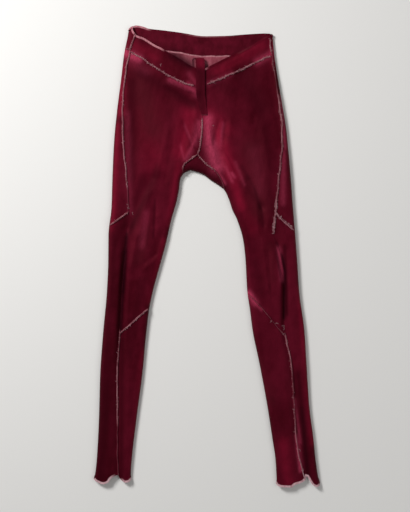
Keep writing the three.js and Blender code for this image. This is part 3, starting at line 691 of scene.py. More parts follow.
def through(points):
    """A smooth path through a few plan points, read by its share from 0 to 1."""
    rows = [dict(n=n / (len(points) - 1), x=x, y=y) for n, (x, y) in enumerate(points)]
    x_at, y_at = curve(rows, "x", "n"), curve(rows, "y", "n")
    return lambda t: (float(x_at(t)), float(y_at(t)))


def side_up_at(leg, row):
    """Height of the side seam's point on a row counted from the waistband's lower seam."""
    knee, calf = ROWS["thigh"], ROWS["thigh"] + ROWS["knee"]
    if row <= knee:
        return mix(leg["seam_side"], leg["knee_outer"]["side"], row / knee)
    if row <= calf:
        return mix(leg["knee_outer"]["side"], leg["knee_inner"]["side"], (row - knee) / ROWS["knee"])
    return mix(leg["knee_inner"]["side"], leg["hem_side"]["inner"], (row - calf) / ROWS["calf"])


def gusset_back_at(leg, t):
    """The gusset's back seam, from the centre back over its corner to the head of the inseam."""
    crotch = (float(centre_back_at(CROTCH_BACK_UP)), CROTCH_BACK_UP)
    head = (float(inseam_at(leg, leg["head_up"])), leg["head_up"])
    corner = leg["gusset_back"]
    first, last, share = (crotch, corner, t * 2) if t <= 0.5 else (corner, head, t * 2 - 1)
    return mix(first[0], last[0], share), mix(first[1], last[1], share)


def back_end(leg, row):
    """End of a back panel's row: on the centre back, the gusset's back seam, or the inseam."""
    back_centre_up = float(seam_back_at(centre_back_at(SEAM_BACK_UP)))
    if row <= ROWS["back_centre"]:
        up = mix(back_centre_up, CROTCH_BACK_UP, row / ROWS["back_centre"])
        return float(centre_back_at(up)), up
    row -= ROWS["back_centre"]
    if row <= ROWS["back_gusset"]:
        return gusset_back_at(leg, row / ROWS["back_gusset"])
    rest = ROWS["thigh"] - ROWS["back_centre"] - ROWS["back_gusset"]
    up = mix(leg["head_up"], leg["knee_under"], (row - ROWS["back_gusset"]) / rest)
    return float(inseam_at(leg, up)), up


KNEE_STRAY = 0.7


def knee_bend(leg):
    """The outer knee seam drops from the side seam to the outer fold, then slants under the leg."""
    def bend(x, layer, up, part, edge_part):
        side, edge = leg["knee_outer"]["side"], leg["knee_outer"]["edge"]
        over = mix(side, edge, part / edge_part)
        under = mix(edge, leg["knee_under"], (part - edge_part) / (1 - edge_part))
        return np.where(part < edge_part, over, under) + stray(x, KNEE_STRAY, seed=66)
    return bend


def knee_waver(x, layer, up):
    """The inner knee seam strays a little from its straight line."""
    return up + stray(x, KNEE_STRAY, seed=67)


def follow(at):
    """A panel's end row lies along a seam that is known as a curve across the garment."""
    return lambda x, layer, up, part=None, edge_part=None: at(x)


STRAP = table(
    "up across half",
    (462, -14, 10.5),
    (434, -13, 10.5),
    (380, -12.5, 10.5),
    (350, -8, 8.5),
    (326, -3.5, 7),
)
strap_across_at = curve(STRAP, "across")
strap_half_at = curve(STRAP, "half")

# How high a seam's edges stand, how far they lean out and how thick their tips are, how far a raw
# hem curls, how high the back waist seam's edges stand inside, and how pale pressed edges are. Then
# where a seam is held down by the strap, and over what distances its edges rise.
SEAM_HEIGHT = 2.5
SEAM_LEAN = 0.12
EDGE_WALL = 0.5
HEM_CURL = 1.7
INNER_RIDGE = 1.9
PRESSED_RAW = 0.75
UNDER_STRAP = dict(below=6, top=470, beside=4)
RISES = dict(top=(1, 4), inside=(6, 8), tuck_end=(4, 12))


def rise(distance, kind):
    """A seam's edges rise from flat to full height over a short way."""
    start, over = RISES[kind]
    return smooth((distance - start) / over)


def turned_up(points, distance):
    """How far a seam's edges stand up: fully on top, not under the strap nor on the folds."""
    x, y, layer = points[..., 0], points[..., 1], points[..., 2]
    beside = np.abs(x - strap_across_at(y)) - strap_half_at(y)
    along = (y > STRAP[-1]["up"] - UNDER_STRAP["below"]) & (y < UNDER_STRAP["top"])
    under_strap = along & (beside < UNDER_STRAP["beside"])
    return np.where((layer <= 0) | under_strap, 0, rise(distance, "top"))


def turned_in_behind(points, distance):
    """The back waist seam: its edges stand up on top, and lie inside the garment underneath."""
    return np.where(points[..., 2] < 0, -rise(distance, "inside"), turned_up(points, distance))


def open_side(leg):
    """The side seam's edges are tucked into the crease beside the knee."""
    def seam(points, distance):
        low, tuck = leg["knee_inner"]["side"], leg["tuck"]
        y = points[..., 1]
        above = smooth((tuck["from_up"] - y) / (tuck["from_up"] - tuck["to_up"]))
        tucked = above * rise(y - low, "tuck_end")
        return turned_up(points, distance) * (1 - tucked)
    return seam


def butted(points, distance):
    """A seam pressed flat, with its edges side by side."""
    return np.zeros(np.shape(distance))


# Where the hide is rubbed paler or painted with highlights on lit ridges, folds and edges, dyed
# brighter or painted brighter where lit, browner, dyed darker or painted with shade in valleys and
# under folds, nearly black as painted shade deep in a crease, or where its raw edges have lost their
# pale colour: soft blots along straight runs.
BLOTS = table(
    "kind from_x from_y to_x to_y width amount",
    # Rubbed paler where worn, and painted highlights along lit ridges and fold faces.
    ("rub", 5, 318, 8, 262, 12, 0.95),
    ("rub", -16, 308, -14, 276, 7, 0.6),
    ("rub", 12, 258, 26, 205, 15, 1.0),
    ("rub", -20, 300, -26, 262, 9, 0.4),
    ("rub", -46, 222, -34, 246, 6, 0.5),
    ("rub", -192, 474, -158, 458, 10, 1.0),
    ("rub", -184, 458, -140, 430, 12, 0.18),
    ("rub", -84, 408, -26, 384, 6, 0.65),
    ("rub", -40, 400, -22, 372, 7, 0.4),
    ("rub", 120, 452, 156, 472, 9, 0.6),
    ("rub", 4, 400, 60, 424, 6, 0.3),
    ("rub", 176, 372, 186, 250, 5, 0.5),
    ("rub", 182, 240, 180, 120, 7, 0.35),
    ("rub", -184, 330, -178, 100, 8, 0.2),
    ("rub", 170, 14, 178, -60, 5, 0.9),
    ("rub", 207, -340, 221, -440, 4, 0.5),
    ("rub", 212, -425, 222, -505, 5, 1.0),
    ("bright", 180, -440, 190, -530, 14, 0.5),
    ("rub", 101, -90, 116, -114, 7, 1.0),
    ("rub", 108, -110, 130, -128, 4, 0.6),
    ("rub", -50, 302, -30, 255, 3, 0.45),
    ("rub", -36, 244, -22, 282, 3, 0.5),
    ("rub", -60, 256, -52, 226, 3, 0.35),
    ("rub", 40, 306, 33, 250, 4, 0.5),
    ("rub", 46, 204, 62, 170, 4, 0.5),
    ("rub", 28, 196, 44, 166, 4, 0.55),
    ("rub", 68, 216, 90, 164, 4, 0.3),
    ("rub", -140, 96, -150, 20, 8, 0.25),
    ("rub", -40, 424, -24, 400, 6, 0.3),
    ("rub", 60, 190, 66, 182, 4, 0.8),
    # Brighter dye, and painted light on lit outer edges and calf lobes.
    ("bright", 4, 325, 40, 290, 20, 0.7),
    ("bright", 24, 290, 64, 180, 18, 0.9),
    ("bright", 62, 180, 84, 110, 12, 0.9),
    ("bright", -40, 330, -60, 240, 22, 0.7),
    ("bright", -64, 210, -84, 70, 9, 0.5),
    ("bright", -96, 30, -130, -110, 8, 0.5),
    ("bright", -146, -230, -172, -500, 7, 0.5),
    ("bright", 200, 290, 226, -40, 10, 0.7),
    ("bright", 222, -80, 252, -440, 9, 0.7),
    ("bright", -196, 440, -200, 330, 10, 0.7),
    ("bright", -206, 300, -218, 60, 8, 0.5),
    ("bright", -166, 490, -120, 462, 12, 0.4),
    ("bright", 30, 430, 130, 490, 13, 0.45),
    ("bright", 158, 500, 162, 450, 10, 0.6),
    ("bright", 66, 160, 110, 60, 16, 0.3),
    ("bright", -140, 330, -120, 200, 30, 0.35),
    ("brown", -158, 420, -126, 290, 26, 0.9),
    ("brown", 104, 250, 128, 110, 26, 0.9),
    ("rub", 112, 240, 126, 150, 16, 0.12),
    ("brown", -140, 60, -156, -10, 14, 0.6),
    ("brown", 116, -250, 150, -340, 18, 0.6),
    ("brown", 60, 500, 100, 510, 20, 0.6),
    ("brown", -20, 500, -40, 512, 18, 0.5),
    ("brown", 150, 20, 156, -60, 8, 0.5),
    # Darker dye, and painted shade in valleys, knee creases and under the fold below the waistband.
    ("dark", -96, 394, -30, 350, 12, 1.0),
    ("dark", -150, 424, -96, 394, 13, 0.8),
    ("dark", -13, 425, -12, 345, 11, 0.6),
    ("dark", 90, 420, 130, 340, 24, 0.8),
    ("dark", 20, 404, 60, 388, 18, 0.6),
    ("dark", 130, 330, 150, 200, 20, 0.6),
    ("dark", 146, 190, 150, 100, 10, 0.5),
    ("dark", -172, 400, -174, 180, 12, 0.8),
    ("dark", -112, 190, -172, 70, 13, 0.8),
    ("dark", -150, 180, -160, 90, 14, 0.5),
    ("dark", -188, 40, -203, -170, 6, 1.0),
    ("dark", -150, -60, -180, -240, 12, 0.5),
    ("dark", 184, 20, 189, -140, 5, 1.0),
    ("dark", 120, -20, 130, -90, 12, 0.5),
    ("dark", 216, -280, 240, -520, 7, 1.0),
    ("dark", -196, -200, -200, -520, 7, 0.8),
    ("dark", -228, -120, -236, -300, 12, 0.7),
    ("dark", -236, -300, -246, -530, 18, 1.0),
    ("dark", -212, 60, -218, -120, 10, 0.7),
    ("dark", -150, 500, -110, 512, 16, 0.6),
    ("dark", -30, 200, 40, 160, 14, 0.7),
    ("dark", 20, 196, 46, 150, 10, 0.6),
    ("dark", 150, -430, 176, -530, 12, 0.4),
    # Near-black painted shade deep in creases, beside seams and in the V.
    ("shade", -185, 50, -189.5, 8, 4, 0.85),
    ("shade", -189.5, 8, -195, -88, 5, 1.0),
    ("shade", -195, -88, -201, -185, 4, 0.8),
    ("shade", -116, 204, -150, 116, 9, 0.3),
    ("shade", -150, 116, -180, 50, 7, 0.4),
    ("shade", -120, 128, -124, 40, 3, 0.35),
    ("shade", 84, 206, 112, 156, 5, 0.35),
    ("shade", 112, 156, 131, 104, 4, 0.45),
    ("shade", 131, 104, 134, 66, 4, 0.35),
    ("shade", 30, 316, 16, 257, 3.5, 0.25),
    ("shade", 45, 311, 39, 234, 4, 0.25),
    ("shade", -55, 311, -34, 262, 4, 0.25),
    ("shade", -204, -190, -205, -330, 3, 0.3),
    ("shade", 165, 30, 177, -3, 3, 0.6),
    ("shade", 178, -3, 185, -40, 4, 1.0),
    ("shade", 185, -40, 183, -150, 4, 0.95),
    ("shade", 224, -360, 238, -520, 5, 0.5),
    ("shade", -86, 404, -30, 376, 3, 0.3),
    ("shade", -78, 470, -38, 444, 14, 0.85),
    ("shade", 0, 432, -1, 360, 3, 0.6),
    ("faint", 30, 196, 70, 120, 14, 0.95),
    ("faint", 104, -92, 172, -176, 10, 0.85),
    ("faint", -209, -410, -205, -520, 14, 0.95),
    ("faint", -200, -190, -206, -250, 12, 0.45),
    ("faint", 160, 470, 172, 380, 10, 0.9),
    ("faint", 176, 240, 166, 140, 9, 0.35),
    ("faint", -186, 200, -183, 156, 10, 0.3),
    ("faint", -182, 148, -179, 118, 8, 0.75),
    ("faint", 200, -280, 212, -380, 10, 0.5),
    ("faint", -120, 532, 150, 520, 16, 0.95),
    ("faint", -90, 478, -14, 434, 12, 0.9),
    ("faint", 8, 440, 150, 514, 10, 0.75),
    ("faint", -62, 196, -66, 150, 10, 1.0),
)


def blot_share(kind, x, y, blots=BLOTS):
    """How strong the blots of one kind are at plan points, from 0 to 1."""
    total = np.zeros(np.shape(x))
    for blot in blots:
        if blot["kind"] == kind:
            near2 = near_run(blot, x, y)
            total = np.maximum(total, blot["amount"] * np.exp(-near2 / blot["width"] ** 2))
    return total


def stations(count, first_kind, last_kind):
    """Where a panel's rows or columns stand, with extra ones at a seam or a raw edge."""
    names = ("cut", "bend", "crease")
    head = [(0, 1, name, first_kind) for name in names]
    body = [(i, 0, None, None) for i in range(1, count - 1)]
    tail = [(count - 1, -1, name, last_kind) for name in reversed(names)]
    return head + body + tail


# A raw hem at its three stations: how far in each stands, its share of the curl, and how raw it is.
HEM_STATIONS = {"cut": (0.0, 1.0, 1.0), "bend": (3.7, 0.4, 1.0), "crease": (5.3, 0.1, 0.0)}

# A seam at the same stations: where the last two stand when it is flat, how high and how far out
# the bend is, how much further in the outer crease lies, and the share of the inner ridge.
BEND_AT = HALF_GAP + 0.3
CREASE_AT = HALF_GAP + 0.9
BEND_HEIGHT = 0.4
BEND_LEAN = 0.35
INNER_BEND_LEAN = 0.3
CREASE_WALL = 1.1
TURNED_IN_BEND = 0.8
RIDGE_SHARE = {"cut": 1.0, "bend": 0.95, "crease": 0.0}
INNER_RAW_SHARE = {"cut": 1.0, "bend": 1.0, "crease": 0.0}
INNER_RAW_GAIN = 1.2

# Unevenness along an edge: a mean, and swells with their share, length and seed.
UNEVEN = dict(
    curl=(0.75, (0.5, 24, 11)),
    ragged=(1, (0.2, 9, 21), (0.12, 31, 22)),
    lean=(1, (1, 13, 23)),
    worn=(0.8, (0.3, 26, 24)),
)


def uneven(kind, x, y):
    """A factor that varies along an edge."""
    total, *swells = UNEVEN[kind]
    for share, length, seed in swells:
        total = total + share * waves(x, y, length, seed)
    return total


def edge_shape(name, kind, up, x, y):
    """Distance in from a panel's edge and height over the face, outside and inside, and how raw both
    are. An edge is turned out where up is above 0, and turned in where it is below."""
    shape = np.ones(np.shape(up))
    flat = 0 * shape
    if name is None:
        return flat, flat, flat, -WALL * shape, flat, flat
    worn = 1 - blot_share("faint", x, y)
    if kind == "raw":
        curl = HEM_CURL * uneven("curl", x, y)
        inward, curl_share, rawness = HEM_STATIONS[name]
        lift = curl_share * curl
        raw = rawness * worn
        return shape * inward, lift, shape * inward, lift - WALL, raw, raw
    ragged = uneven("ragged", x, y)
    height = SEAM_HEIGHT * ragged
    lean = SEAM_LEAN * uneven("lean", x, y) * height
    worn = uneven("worn", x, y) * worn
    turned_in = np.maximum(-up, 0)
    up = np.maximum(up, 0)
    inner_ridge = INNER_RIDGE * turned_in * RIDGE_SHARE[name]
    inner_raw = turned_in * INNER_RAW_SHARE[name] * np.clip(INNER_RAW_GAIN * ragged, 0, 1)
    if name == "cut":
        raw = up * np.clip(worn, 0, 1)
        return (HALF_GAP + (EDGE_WALL + lean) * up, height * up, HALF_GAP + lean * up,
                mix(-WALL, height, up) - inner_ridge, raw, np.maximum(raw, inner_raw))
    if name == "bend":
        inside = BEND_AT + TURNED_IN_BEND * turned_in
        return (BEND_AT + (WALL + BEND_LEAN * lean) * up, BEND_HEIGHT * height * up,
                mix(inside, HALF_GAP + INNER_BEND_LEAN * lean, up),
                mix(-WALL, BEND_HEIGHT * height, up) - inner_ridge, flat, inner_raw)
    return (CREASE_AT + WALL * CREASE_WALL * up, flat,
            mix(CREASE_AT + turned_in, HALF_GAP, up), -WALL * shape, flat, flat)


def unit(vectors):
    """Vectors brought to length 1."""
    return vectors / np.maximum(np.linalg.norm(vectors, axis=-1, keepdims=True), 1e-9)


def panel_layers(rows, kinds):
    """Outer and inner grids of a panel, with its seam edges, and how raw each of their points is.
    kinds names what the first row, last row, first column and last column are."""
    base, normal, distance = face_points(rows[..., 0], rows[..., 1], rows[..., 2])
    down = np.gradient(base, axis=0)
    over = np.gradient(base, axis=1)
    down = unit(down - (down * normal).sum(-1, keepdims=True) * normal)
    over = unit(over - (over * normal).sum(-1, keepdims=True) * normal)
    row_away = unit(np.cross(normal, over))
    row_away *= np.sign((row_away * down).sum(-1, keepdims=True))
    column_away = unit(np.cross(normal, down))
    column_away *= np.sign((column_away * over).sum(-1, keepdims=True))
    least_sine = 0.35
    sine = np.maximum(np.linalg.norm(np.cross(down, over), axis=-1), least_sine)[..., None]
    row_list = stations(rows.shape[0], kinds[0], kinds[1])
    column_list = stations(rows.shape[1], kinds[2], kinds[3])
    shape = (len(row_list), len(column_list))
    outer, inner = np.empty(shape + (3,)), np.empty(shape + (3,))
    raw = np.zeros((2,) + shape)
    column_index = np.array([c[0] for c in column_list])
    column_edge = np.array([callable(c[3]) and c[2] in ("cut", "bend") for c in column_list])
    for a, (i, row_in, row_name, row_kind) in enumerate(row_list):
        points, far = rows[i][column_index], distance[i][column_index]
        x, y = points[:, 0], points[:, 1]
        row_up = row_kind(points, far) if callable(row_kind) else 0 * far
        row_shape = edge_shape(row_name, row_kind, row_up, x, y)
        column_shape = [np.zeros(shape[1]) for _ in range(6)]
        column_shape[3] = np.full(shape[1], -WALL)
        inward = np.zeros(shape[1])
        for b, (k, way, name, kind) in enumerate(column_list):
            if name is None:
                continue
            inward[b] = way
            here = slice(b, b + 1)
            up = kind(points[here], far[here]) if callable(kind) else np.zeros(1)
            for n, value in enumerate(edge_shape(name, kind, up, x[here], y[here])):
                column_shape[n][b] = value[0]
        for side, grid, in_n, up_n in (("outer", outer, 0, 1), ("inner", inner, 2, 3)):
            row_move = (row_shape[in_n] * row_in)[:, None]
            column_move = (column_shape[in_n] * inward)[:, None]
            straight = row_away[i, column_index] * row_move
            straight = straight + column_away[i, column_index] * column_move
            corner = down[i, column_index] * row_move + over[i, column_index] * column_move
            corner = corner / sine[i, column_index]
            both = ((inward != 0) & (row_in != 0))[:, None]
            lift = np.maximum(row_shape[up_n], column_shape[up_n])[:, None]
            place = base[i, column_index] + np.where(both, corner, straight)
            place = place + normal[i, column_index] * lift
            place[:, 2] = np.maximum(place[:, 2], 0)
            grid[a] = place
        row_edge = callable(row_kind) and row_name in ("cut", "bend")
        pressed = PRESSED_RAW * ((rows[i][column_index, 2] < 0) & (column_edge | row_edge))
        raw[0, a] = np.maximum(np.maximum(row_shape[4], column_shape[4]), pressed)
        raw[1, a] = np.maximum(row_shape[5], column_shape[5])
    return outer, inner, raw


# Where raw edges take the hems' paler pink, how strongly blots show underneath, and from what angle
# an edge of the mesh stays sharp.
HEM_PALE = dict(start=-490, over=20)
BLOTS_BENEATH = 0.3
SHARP_DEGREES = 50


def put(name, data):
    """An object of the scene made from its data."""
    thing = bpy.data.objects.new(name, data)
    bpy.context.scene.collection.objects.link(thing)
    return thing


def wall_mesh(name, outer, inner, raw, blots=BLOTS):
    """A closed mesh between two grids, with what its material needs to know at each point."""
    count_a, count_b = outer.shape[:2]
    half = count_a * count_b
    points = np.concatenate([outer.reshape(-1, 3), inner.reshape(-1, 3)]) / MM_IN_M
    number = np.arange(half).reshape(count_a, count_b)
    quads = np.stack([number[:-1, :-1], number[1:, :-1], number[1:, 1:], number[:-1, 1:]], -1)
    quads = quads.reshape(-1, 4)
    ring = np.concatenate([number[0, :-1], number[:-1, -1], number[-1, :0:-1], number[:0:-1, 0]])
    following = np.roll(ring, -1)
    rim = np.stack([ring, following, following + half, ring + half], -1)
    faces = np.concatenate([quads, quads[:, ::-1] + half, rim[:, ::-1]])
    corners = points[faces]
    volume = sum(
        np.einsum("ij,ij->i", corners[:, 0], np.cross(corners[:, n], corners[:, n + 1])).sum()
        for n in (1, 2)
    )
    if volume < 0:
        faces = faces[:, ::-1]
    mesh = bpy.data.meshes.new(name)
    mesh.from_pydata(points.tolist(), [], faces.tolist())
    mesh.shade_smooth()
    mesh.set_sharp_from_angle(angle=math.radians(SHARP_DEGREES))
    flesh = np.concatenate([np.zeros(half), np.ones(half)])
    marks = dict(raw=raw.ravel(), flesh=flesh)
    x, y, z = points.T * MM_IN_M
    marks["hem"] = smooth((HEM_PALE["start"] - y) / HEM_PALE["over"])
    # Shares of rubbing, dye, painted highlights and painted shade, weaker on the hidden underside.
    beneath = (flesh == 0) & (z < FOLD_MIDDLE / 2)
    seen = np.where(beneath, BLOTS_BENEATH, 1)
    kinds = ("rub", "bright", "brown", "dark", "shade")
    marks.update({kind: blot_share(kind, x, y, blots) * seen for kind in kinds})
    for key, values in marks.items():
        layer = mesh.attributes.new(key, "FLOAT", "POINT")
        layer.data.foreach_set("value", np.clip(values, 0, 1).astype(np.float32))
    return put(name, mesh)


def colour(code):
    """A linear colour from its usual six-figure code."""
    parts = [int(code[n:n + 2], 16) / 255 for n in (0, 2, 4)]
    return tuple(((c + 0.055) / 1.055) ** 2.4 if c > 0.04045 else c / 12.92 for c in parts) + (1.0,)


def new_material(name):
    """A material, its nodes and links, and its shader."""
    material = bpy.data.materials.new(name)
    material.use_nodes = True
    nodes = material.node_tree.nodes
    return material, nodes, material.node_tree.links, nodes["Principled BSDF"]


# Colours of the worn, dyed and raw places and of painted highlights and painted shade, the deeper one
# first where there are two.
DYES_AND_PAINTED_LIGHT = dict(bright="7a0f28", brown="420d17", dark="2a020a", rub="ac3a57", shade="140106",
            raw="8a4a57 bd868c", hem="9a6d76 cbaeb1", gloss="ff5a74", sheen="c8405a")

# The hide's own unevenness, finer from row to row, and the part of its range that is used.
PATTERNS = table(
    "scale detail rough stretch low high",
    (7, 3, 0.5, (1, 0.6, 1), 0.38, 0.64),
    (55, 5, 0.6, (1, 0.7, 1), 0.24, 0.78),
    (420, 4, 0.7, (1, 0.3, 1), 0.34, 0.7),
    (900, 3, 0.6, (1, 1, 1), 0.35, 0.68),
)
GRAIN = table(
    "scale detail rough stretch height",
    (150, 5, 0.6, (1, 0.6, 1), 0.8),
    (700, 3, 0.6, (1, 0.5, 1), 0.3),
)
GRAIN_STRENGTH = 0.5
GRAIN_DEPTH = 0.001

# How the unevenness mixes the two base colours, how strongly the darker dye and painted shade of the
# dark zones show, between what marks an edge turns raw, how far specks darken and lighten it all, and
# how matt the hide is.
DEEP_TO_MID = (0.4, 1.6)
DARK_SHARE = 0.8
RAW_FROM = (0.25, 0.9)
SPECK_TONE = (0.88, 1.1)
ROUGHNESS = (0.5, 0.66)
SPECULAR = 0.2
SHEEN = 0.02
SHEEN_ROUGHNESS = 0.5


def hide(name, deep="38030e", mid="4f0a1b", inside="6c2634 a25a66", painted_shade_factor=1.0):
    """Dyed hide: crimson, paler where it is rubbed or painted with highlights, darker where it is dyed
    so or painted with shade, dusty pink at raw edges and inside.
    """
    material, nodes, links, shader = new_material(name)
    place = nodes.new("ShaderNodeTexCoord").outputs["Object"]

    def fill(sockets, values):
        for socket, value in zip(sockets, values):
            if isinstance(value, (int, float, tuple)):
                socket.default_value = value
            else:
                links.new(value, socket)

    def noise(row):
        turn = nodes.new("ShaderNodeMapping")
        turn.inputs["Scale"].default_value = row["stretch"]
        texture = nodes.new("ShaderNodeTexNoise")
        texture.inputs["Scale"].default_value = row["scale"]
        texture.inputs["Detail"].default_value = row["detail"]
        texture.inputs["Roughness"].default_value = row["rough"]
        links.new(place, turn.inputs["Vector"])
        links.new(turn.outputs["Vector"], texture.inputs["Vector"])
        return texture.outputs["Fac"]

    def spread(value, low=0.0, high=1.0, to_low=0.0, to_high=1.0):
        node = nodes.new("ShaderNodeMapRange")
        keys = ("Value", "From Min", "From Max", "To Min", "To Max")
        fill([node.inputs[key] for key in keys], (value, low, high, to_low, to_high))
        return node.outputs["Result"]

    def combine(a, b, kind="MULTIPLY"):
        node = nodes.new("ShaderNodeMath")
        node.operation = kind
        fill(node.inputs, (a, b))
        return node.outputs["Value"]

    def mark(key):
        node = nodes.new("ShaderNodeAttribute")
        node.attribute_name = key
        return node.outputs["Fac"]

    def blend(base, top, share, kind="MIX"):
        node = nodes.new("ShaderNodeMix")
        node.data_type = "RGBA"
        node.blend_type = kind
        fill((node.inputs[0], node.inputs[6], node.inputs[7]), (share, base, top))
        return node.outputs[2]

    def between_two(codes, share):
        deeper, paler = codes.split()
        return blend(colour(deeper), colour(paler), share)

    cloud, mottle, fibre, speck = [spread(noise(row), row["low"], row["high"]) for row in PATTERNS]
    tint = blend(colour(deep), colour(mid), spread(combine(cloud, mottle, "ADD"), *DEEP_TO_MID))
    # Rubbed, bright, brown and dark marks: the rubbed, bright and dark ones hold painted highlights and
    # painted shade as well as wear and dye.
    worn = dict(bright=spread(mottle, to_low=0.6), brown=spread(cloud, to_low=0.9, to_high=0.6),
                dark=DARK_SHARE, rub=spread(fibre, to_low=0.45, to_high=0.9))
    for kind, share in worn.items():
        tint = blend(tint, colour(DYES_AND_PAINTED_LIGHT[kind]), combine(mark(kind), share))
    tint = blend(tint, between_two(inside, mottle), mark("flesh"))
    # Near-black painted shade in creases, beside seams and in the V.
    tint = blend(tint, colour(DYES_AND_PAINTED_LIGHT["shade"]), mark("shade"))
    raw = blend(between_two(DYES_AND_PAINTED_LIGHT["raw"], fibre), between_two(DYES_AND_PAINTED_LIGHT["hem"], fibre), mark("hem"))
    tint = blend(tint, raw, spread(mark("raw"), *RAW_FROM))
    grey = spread(speck, to_low=SPECK_TONE[0] * painted_shade_factor, to_high=SPECK_TONE[1] * painted_shade_factor)
    links.new(blend(tint, grey, 1.0, "MULTIPLY"), shader.inputs["Base Color"])
    links.new(spread(mottle, to_low=ROUGHNESS[0], to_high=ROUGHNESS[1]), shader.inputs["Roughness"])
    shader.inputs["Specular IOR Level"].default_value = SPECULAR
    shader.inputs["Specular Tint"].default_value = colour(DYES_AND_PAINTED_LIGHT["gloss"])
    shader.inputs["Sheen Weight"].default_value = SHEEN
    shader.inputs["Sheen Roughness"].default_value = SHEEN_ROUGHNESS
    shader.inputs["Sheen Tint"].default_value = colour(DYES_AND_PAINTED_LIGHT["sheen"])
    coarse, fine = [combine(noise(row), row["height"]) for row in GRAIN]
    bump = nodes.new("ShaderNodeBump")
    bump.inputs["Strength"].default_value = GRAIN_STRENGTH
    bump.inputs["Distance"].default_value = GRAIN_DEPTH
    links.new(combine(coarse, fine, "ADD"), bump.inputs["Height"])
    links.new(bump.outputs["Normal"], shader.inputs["Normal"])
    return material


crimson = hide("crimson_hide")


def dress(piece, node, material):
    """A panel takes its solid's place and its material."""
    piece.data.materials.append(material)
    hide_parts(node)
    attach(piece, "root")


for name, leg in LEGS.items():
    def back_row(t, bend=None, off=None, leg=leg):
        row = t * ROWS["thigh"]
        end_x, end_up = back_end(leg, row)
        return outer_row(leg, side_up_at(leg, row), end_up, end_x, bend, off)

    grid = panel_rows(ROWS["thigh"] * FINE, back_row, follow(seam_back_at), knee_bend(leg))
    layers = panel_layers(grid, (turned_in_behind, turned_up, open_side(leg), butted))
    piece = wall_mesh(f"{name}_seat_and_thigh_back", *layers)
    dress(piece, f"back_panel_{name}", crimson)


# Outer calves: below the outer knee seam, each hide rises as the outer lobe of the calf, goes round
# the outer fold and lies under the whole calf down to a raw, wavy hem.

# Over this last share of the rows, the side seam passes to this piece's own corner at the hem.
HEM_STEP = dict(start=0.95, over=0.05)


def hem_bend(leg):
    """The hem waves in one line on top and in a calmer one underneath."""
    def bend(x, layer, up, part=None, edge_part=None):
        return np.where(layer < 0, leg["hem_under_at"](x), leg["hem_at"](x))
    return bend


for name, leg in LEGS.items():
    def calf_row(t, bend=None, off=None, leg=leg):
        total = ROWS["knee"] + ROWS["calf"]
        side_up = side_up_at(leg, ROWS["thigh"] + t * total)
        step = smooth((t - HEM_STEP["start"]) / HEM_STEP["over"])
        side_up += (leg["hem_side"]["outer"] - leg["hem_side"]["inner"]) * step
        end_up = mix(leg["knee_under"], leg["hem_inseam"], t)
        end_x = float(inseam_at(leg, end_up))
        return outer_row(leg, float(side_up), end_up, end_x, bend, off)

    count = (ROWS["knee"] + ROWS["calf"]) * FINE
    grid = panel_rows(count, calf_row, knee_bend(leg), hem_bend(leg))
    layers = panel_layers(grid, (turned_up, "raw", open_side(leg), butted))
    piece = wall_mesh(f"{name}_outer_calf", *layers)
    dress(piece, f"lower_outer_{name}", crimson)


# Inner calves: below the slanting inner knee seam, each hide is the inner lobe of the calf and
# goes round the inner fold to the inseam underneath. Its hem is raw too.

# Columns of an inner row, how many of them lie under a leg that is wrapped to the inseam, and how
# far from the fold the nearest ones on top stand.
INNER_COLUMNS = 64
UNDER_COLUMNS = 8
FOLD_STEPS = (0.25, 0.9, 2.0, 3.6, 5.6, 8.0)


def row_start(up, across, wraps=0, inset=0, fine=0, on_fold=False):
    """Where a row begins, how many of its columns lie under the inner fold and how far in they go,
    and how much its columns crowd at the fold."""
    return dict(up=up, across=float(across), wraps=wraps, inset=inset, fine=fine, on_fold=on_fold)


def inner_row(leg, start, side_up, bend=None, off=None):
    """One row from the centre seam, gusset or inseam over the top layer to the side seam."""
    steps, columns = np.array(FOLD_STEPS), INNER_COLUMNS
    under, on_fold = start["wraps"], start["wraps"] > 0 or start["on_fold"]
    middle = (start["up"] + side_up) / 2

    def origin(at):
        fold_top = leg["gusset_wrap"][0]
        return leg["inner_at"](np.minimum(at, fold_top)) if on_fold else start["across"] + 0 * at

    width = abs(float(leg["side_at"](middle) - origin(np.float64(middle))))
    rest = columns - under - len(steps)
    rolled = np.concatenate([[0], steps, mix(steps[-1], width, np.arange(1, rest + 1) / rest)])
    even = width * np.arange(columns - under + 1) / (columns - under)
    wrapped = -start["inset"] * (1 - np.arange(under) / max(under, 1)) ** 2
    places = np.concatenate([wrapped, mix(even, rolled, start["fine"])])
    part = (places - places[0]) / (width - places[0])
    layer = np.sign(np.arange(columns + 1) - under) if on_fold else np.ones(columns + 1)
    up = mix(start["up"], side_up, part)

    def across(at):
        scale = np.where(places > 0, np.abs(leg["side_at"](at) - origin(at)) / width, 1)
        x = origin(at) + leg["out"] * np.abs(places) * scale
        if on_fold and under:
            x[0] = start["across"]
        return x

    y = up
    if bend is not None:
        for _ in range(FITTINGS):
            y = bend(across(y), layer, up)
    if off is not None:
        y = up + off
    return np.stack([across(y), y, layer], -1)


for name, leg in LEGS.items():
    def inner_calf_row(t, bend=None, off=None, leg=leg):
        up = mix(leg["knee_under"], leg["hem_inseam"], t)
        start = row_start(up, inseam_at(leg, up), wraps=UNDER_COLUMNS, inset=INSEAM_INSET, fine=1)
        side_up = side_up_at(leg, ROWS["thigh"] + ROWS["knee"] + t * ROWS["calf"])
        return inner_row(leg, start, side_up, bend, off)

    grid = panel_rows(ROWS["calf"] * FINE, inner_calf_row, knee_waver, hem_bend(leg))
    layers = panel_layers(grid, (turned_up, "raw", butted, open_side(leg)))
    piece = wall_mesh(f"{name}_inner_calf", *layers)
    dress(piece, f"lower_inner_{name}", crimson)


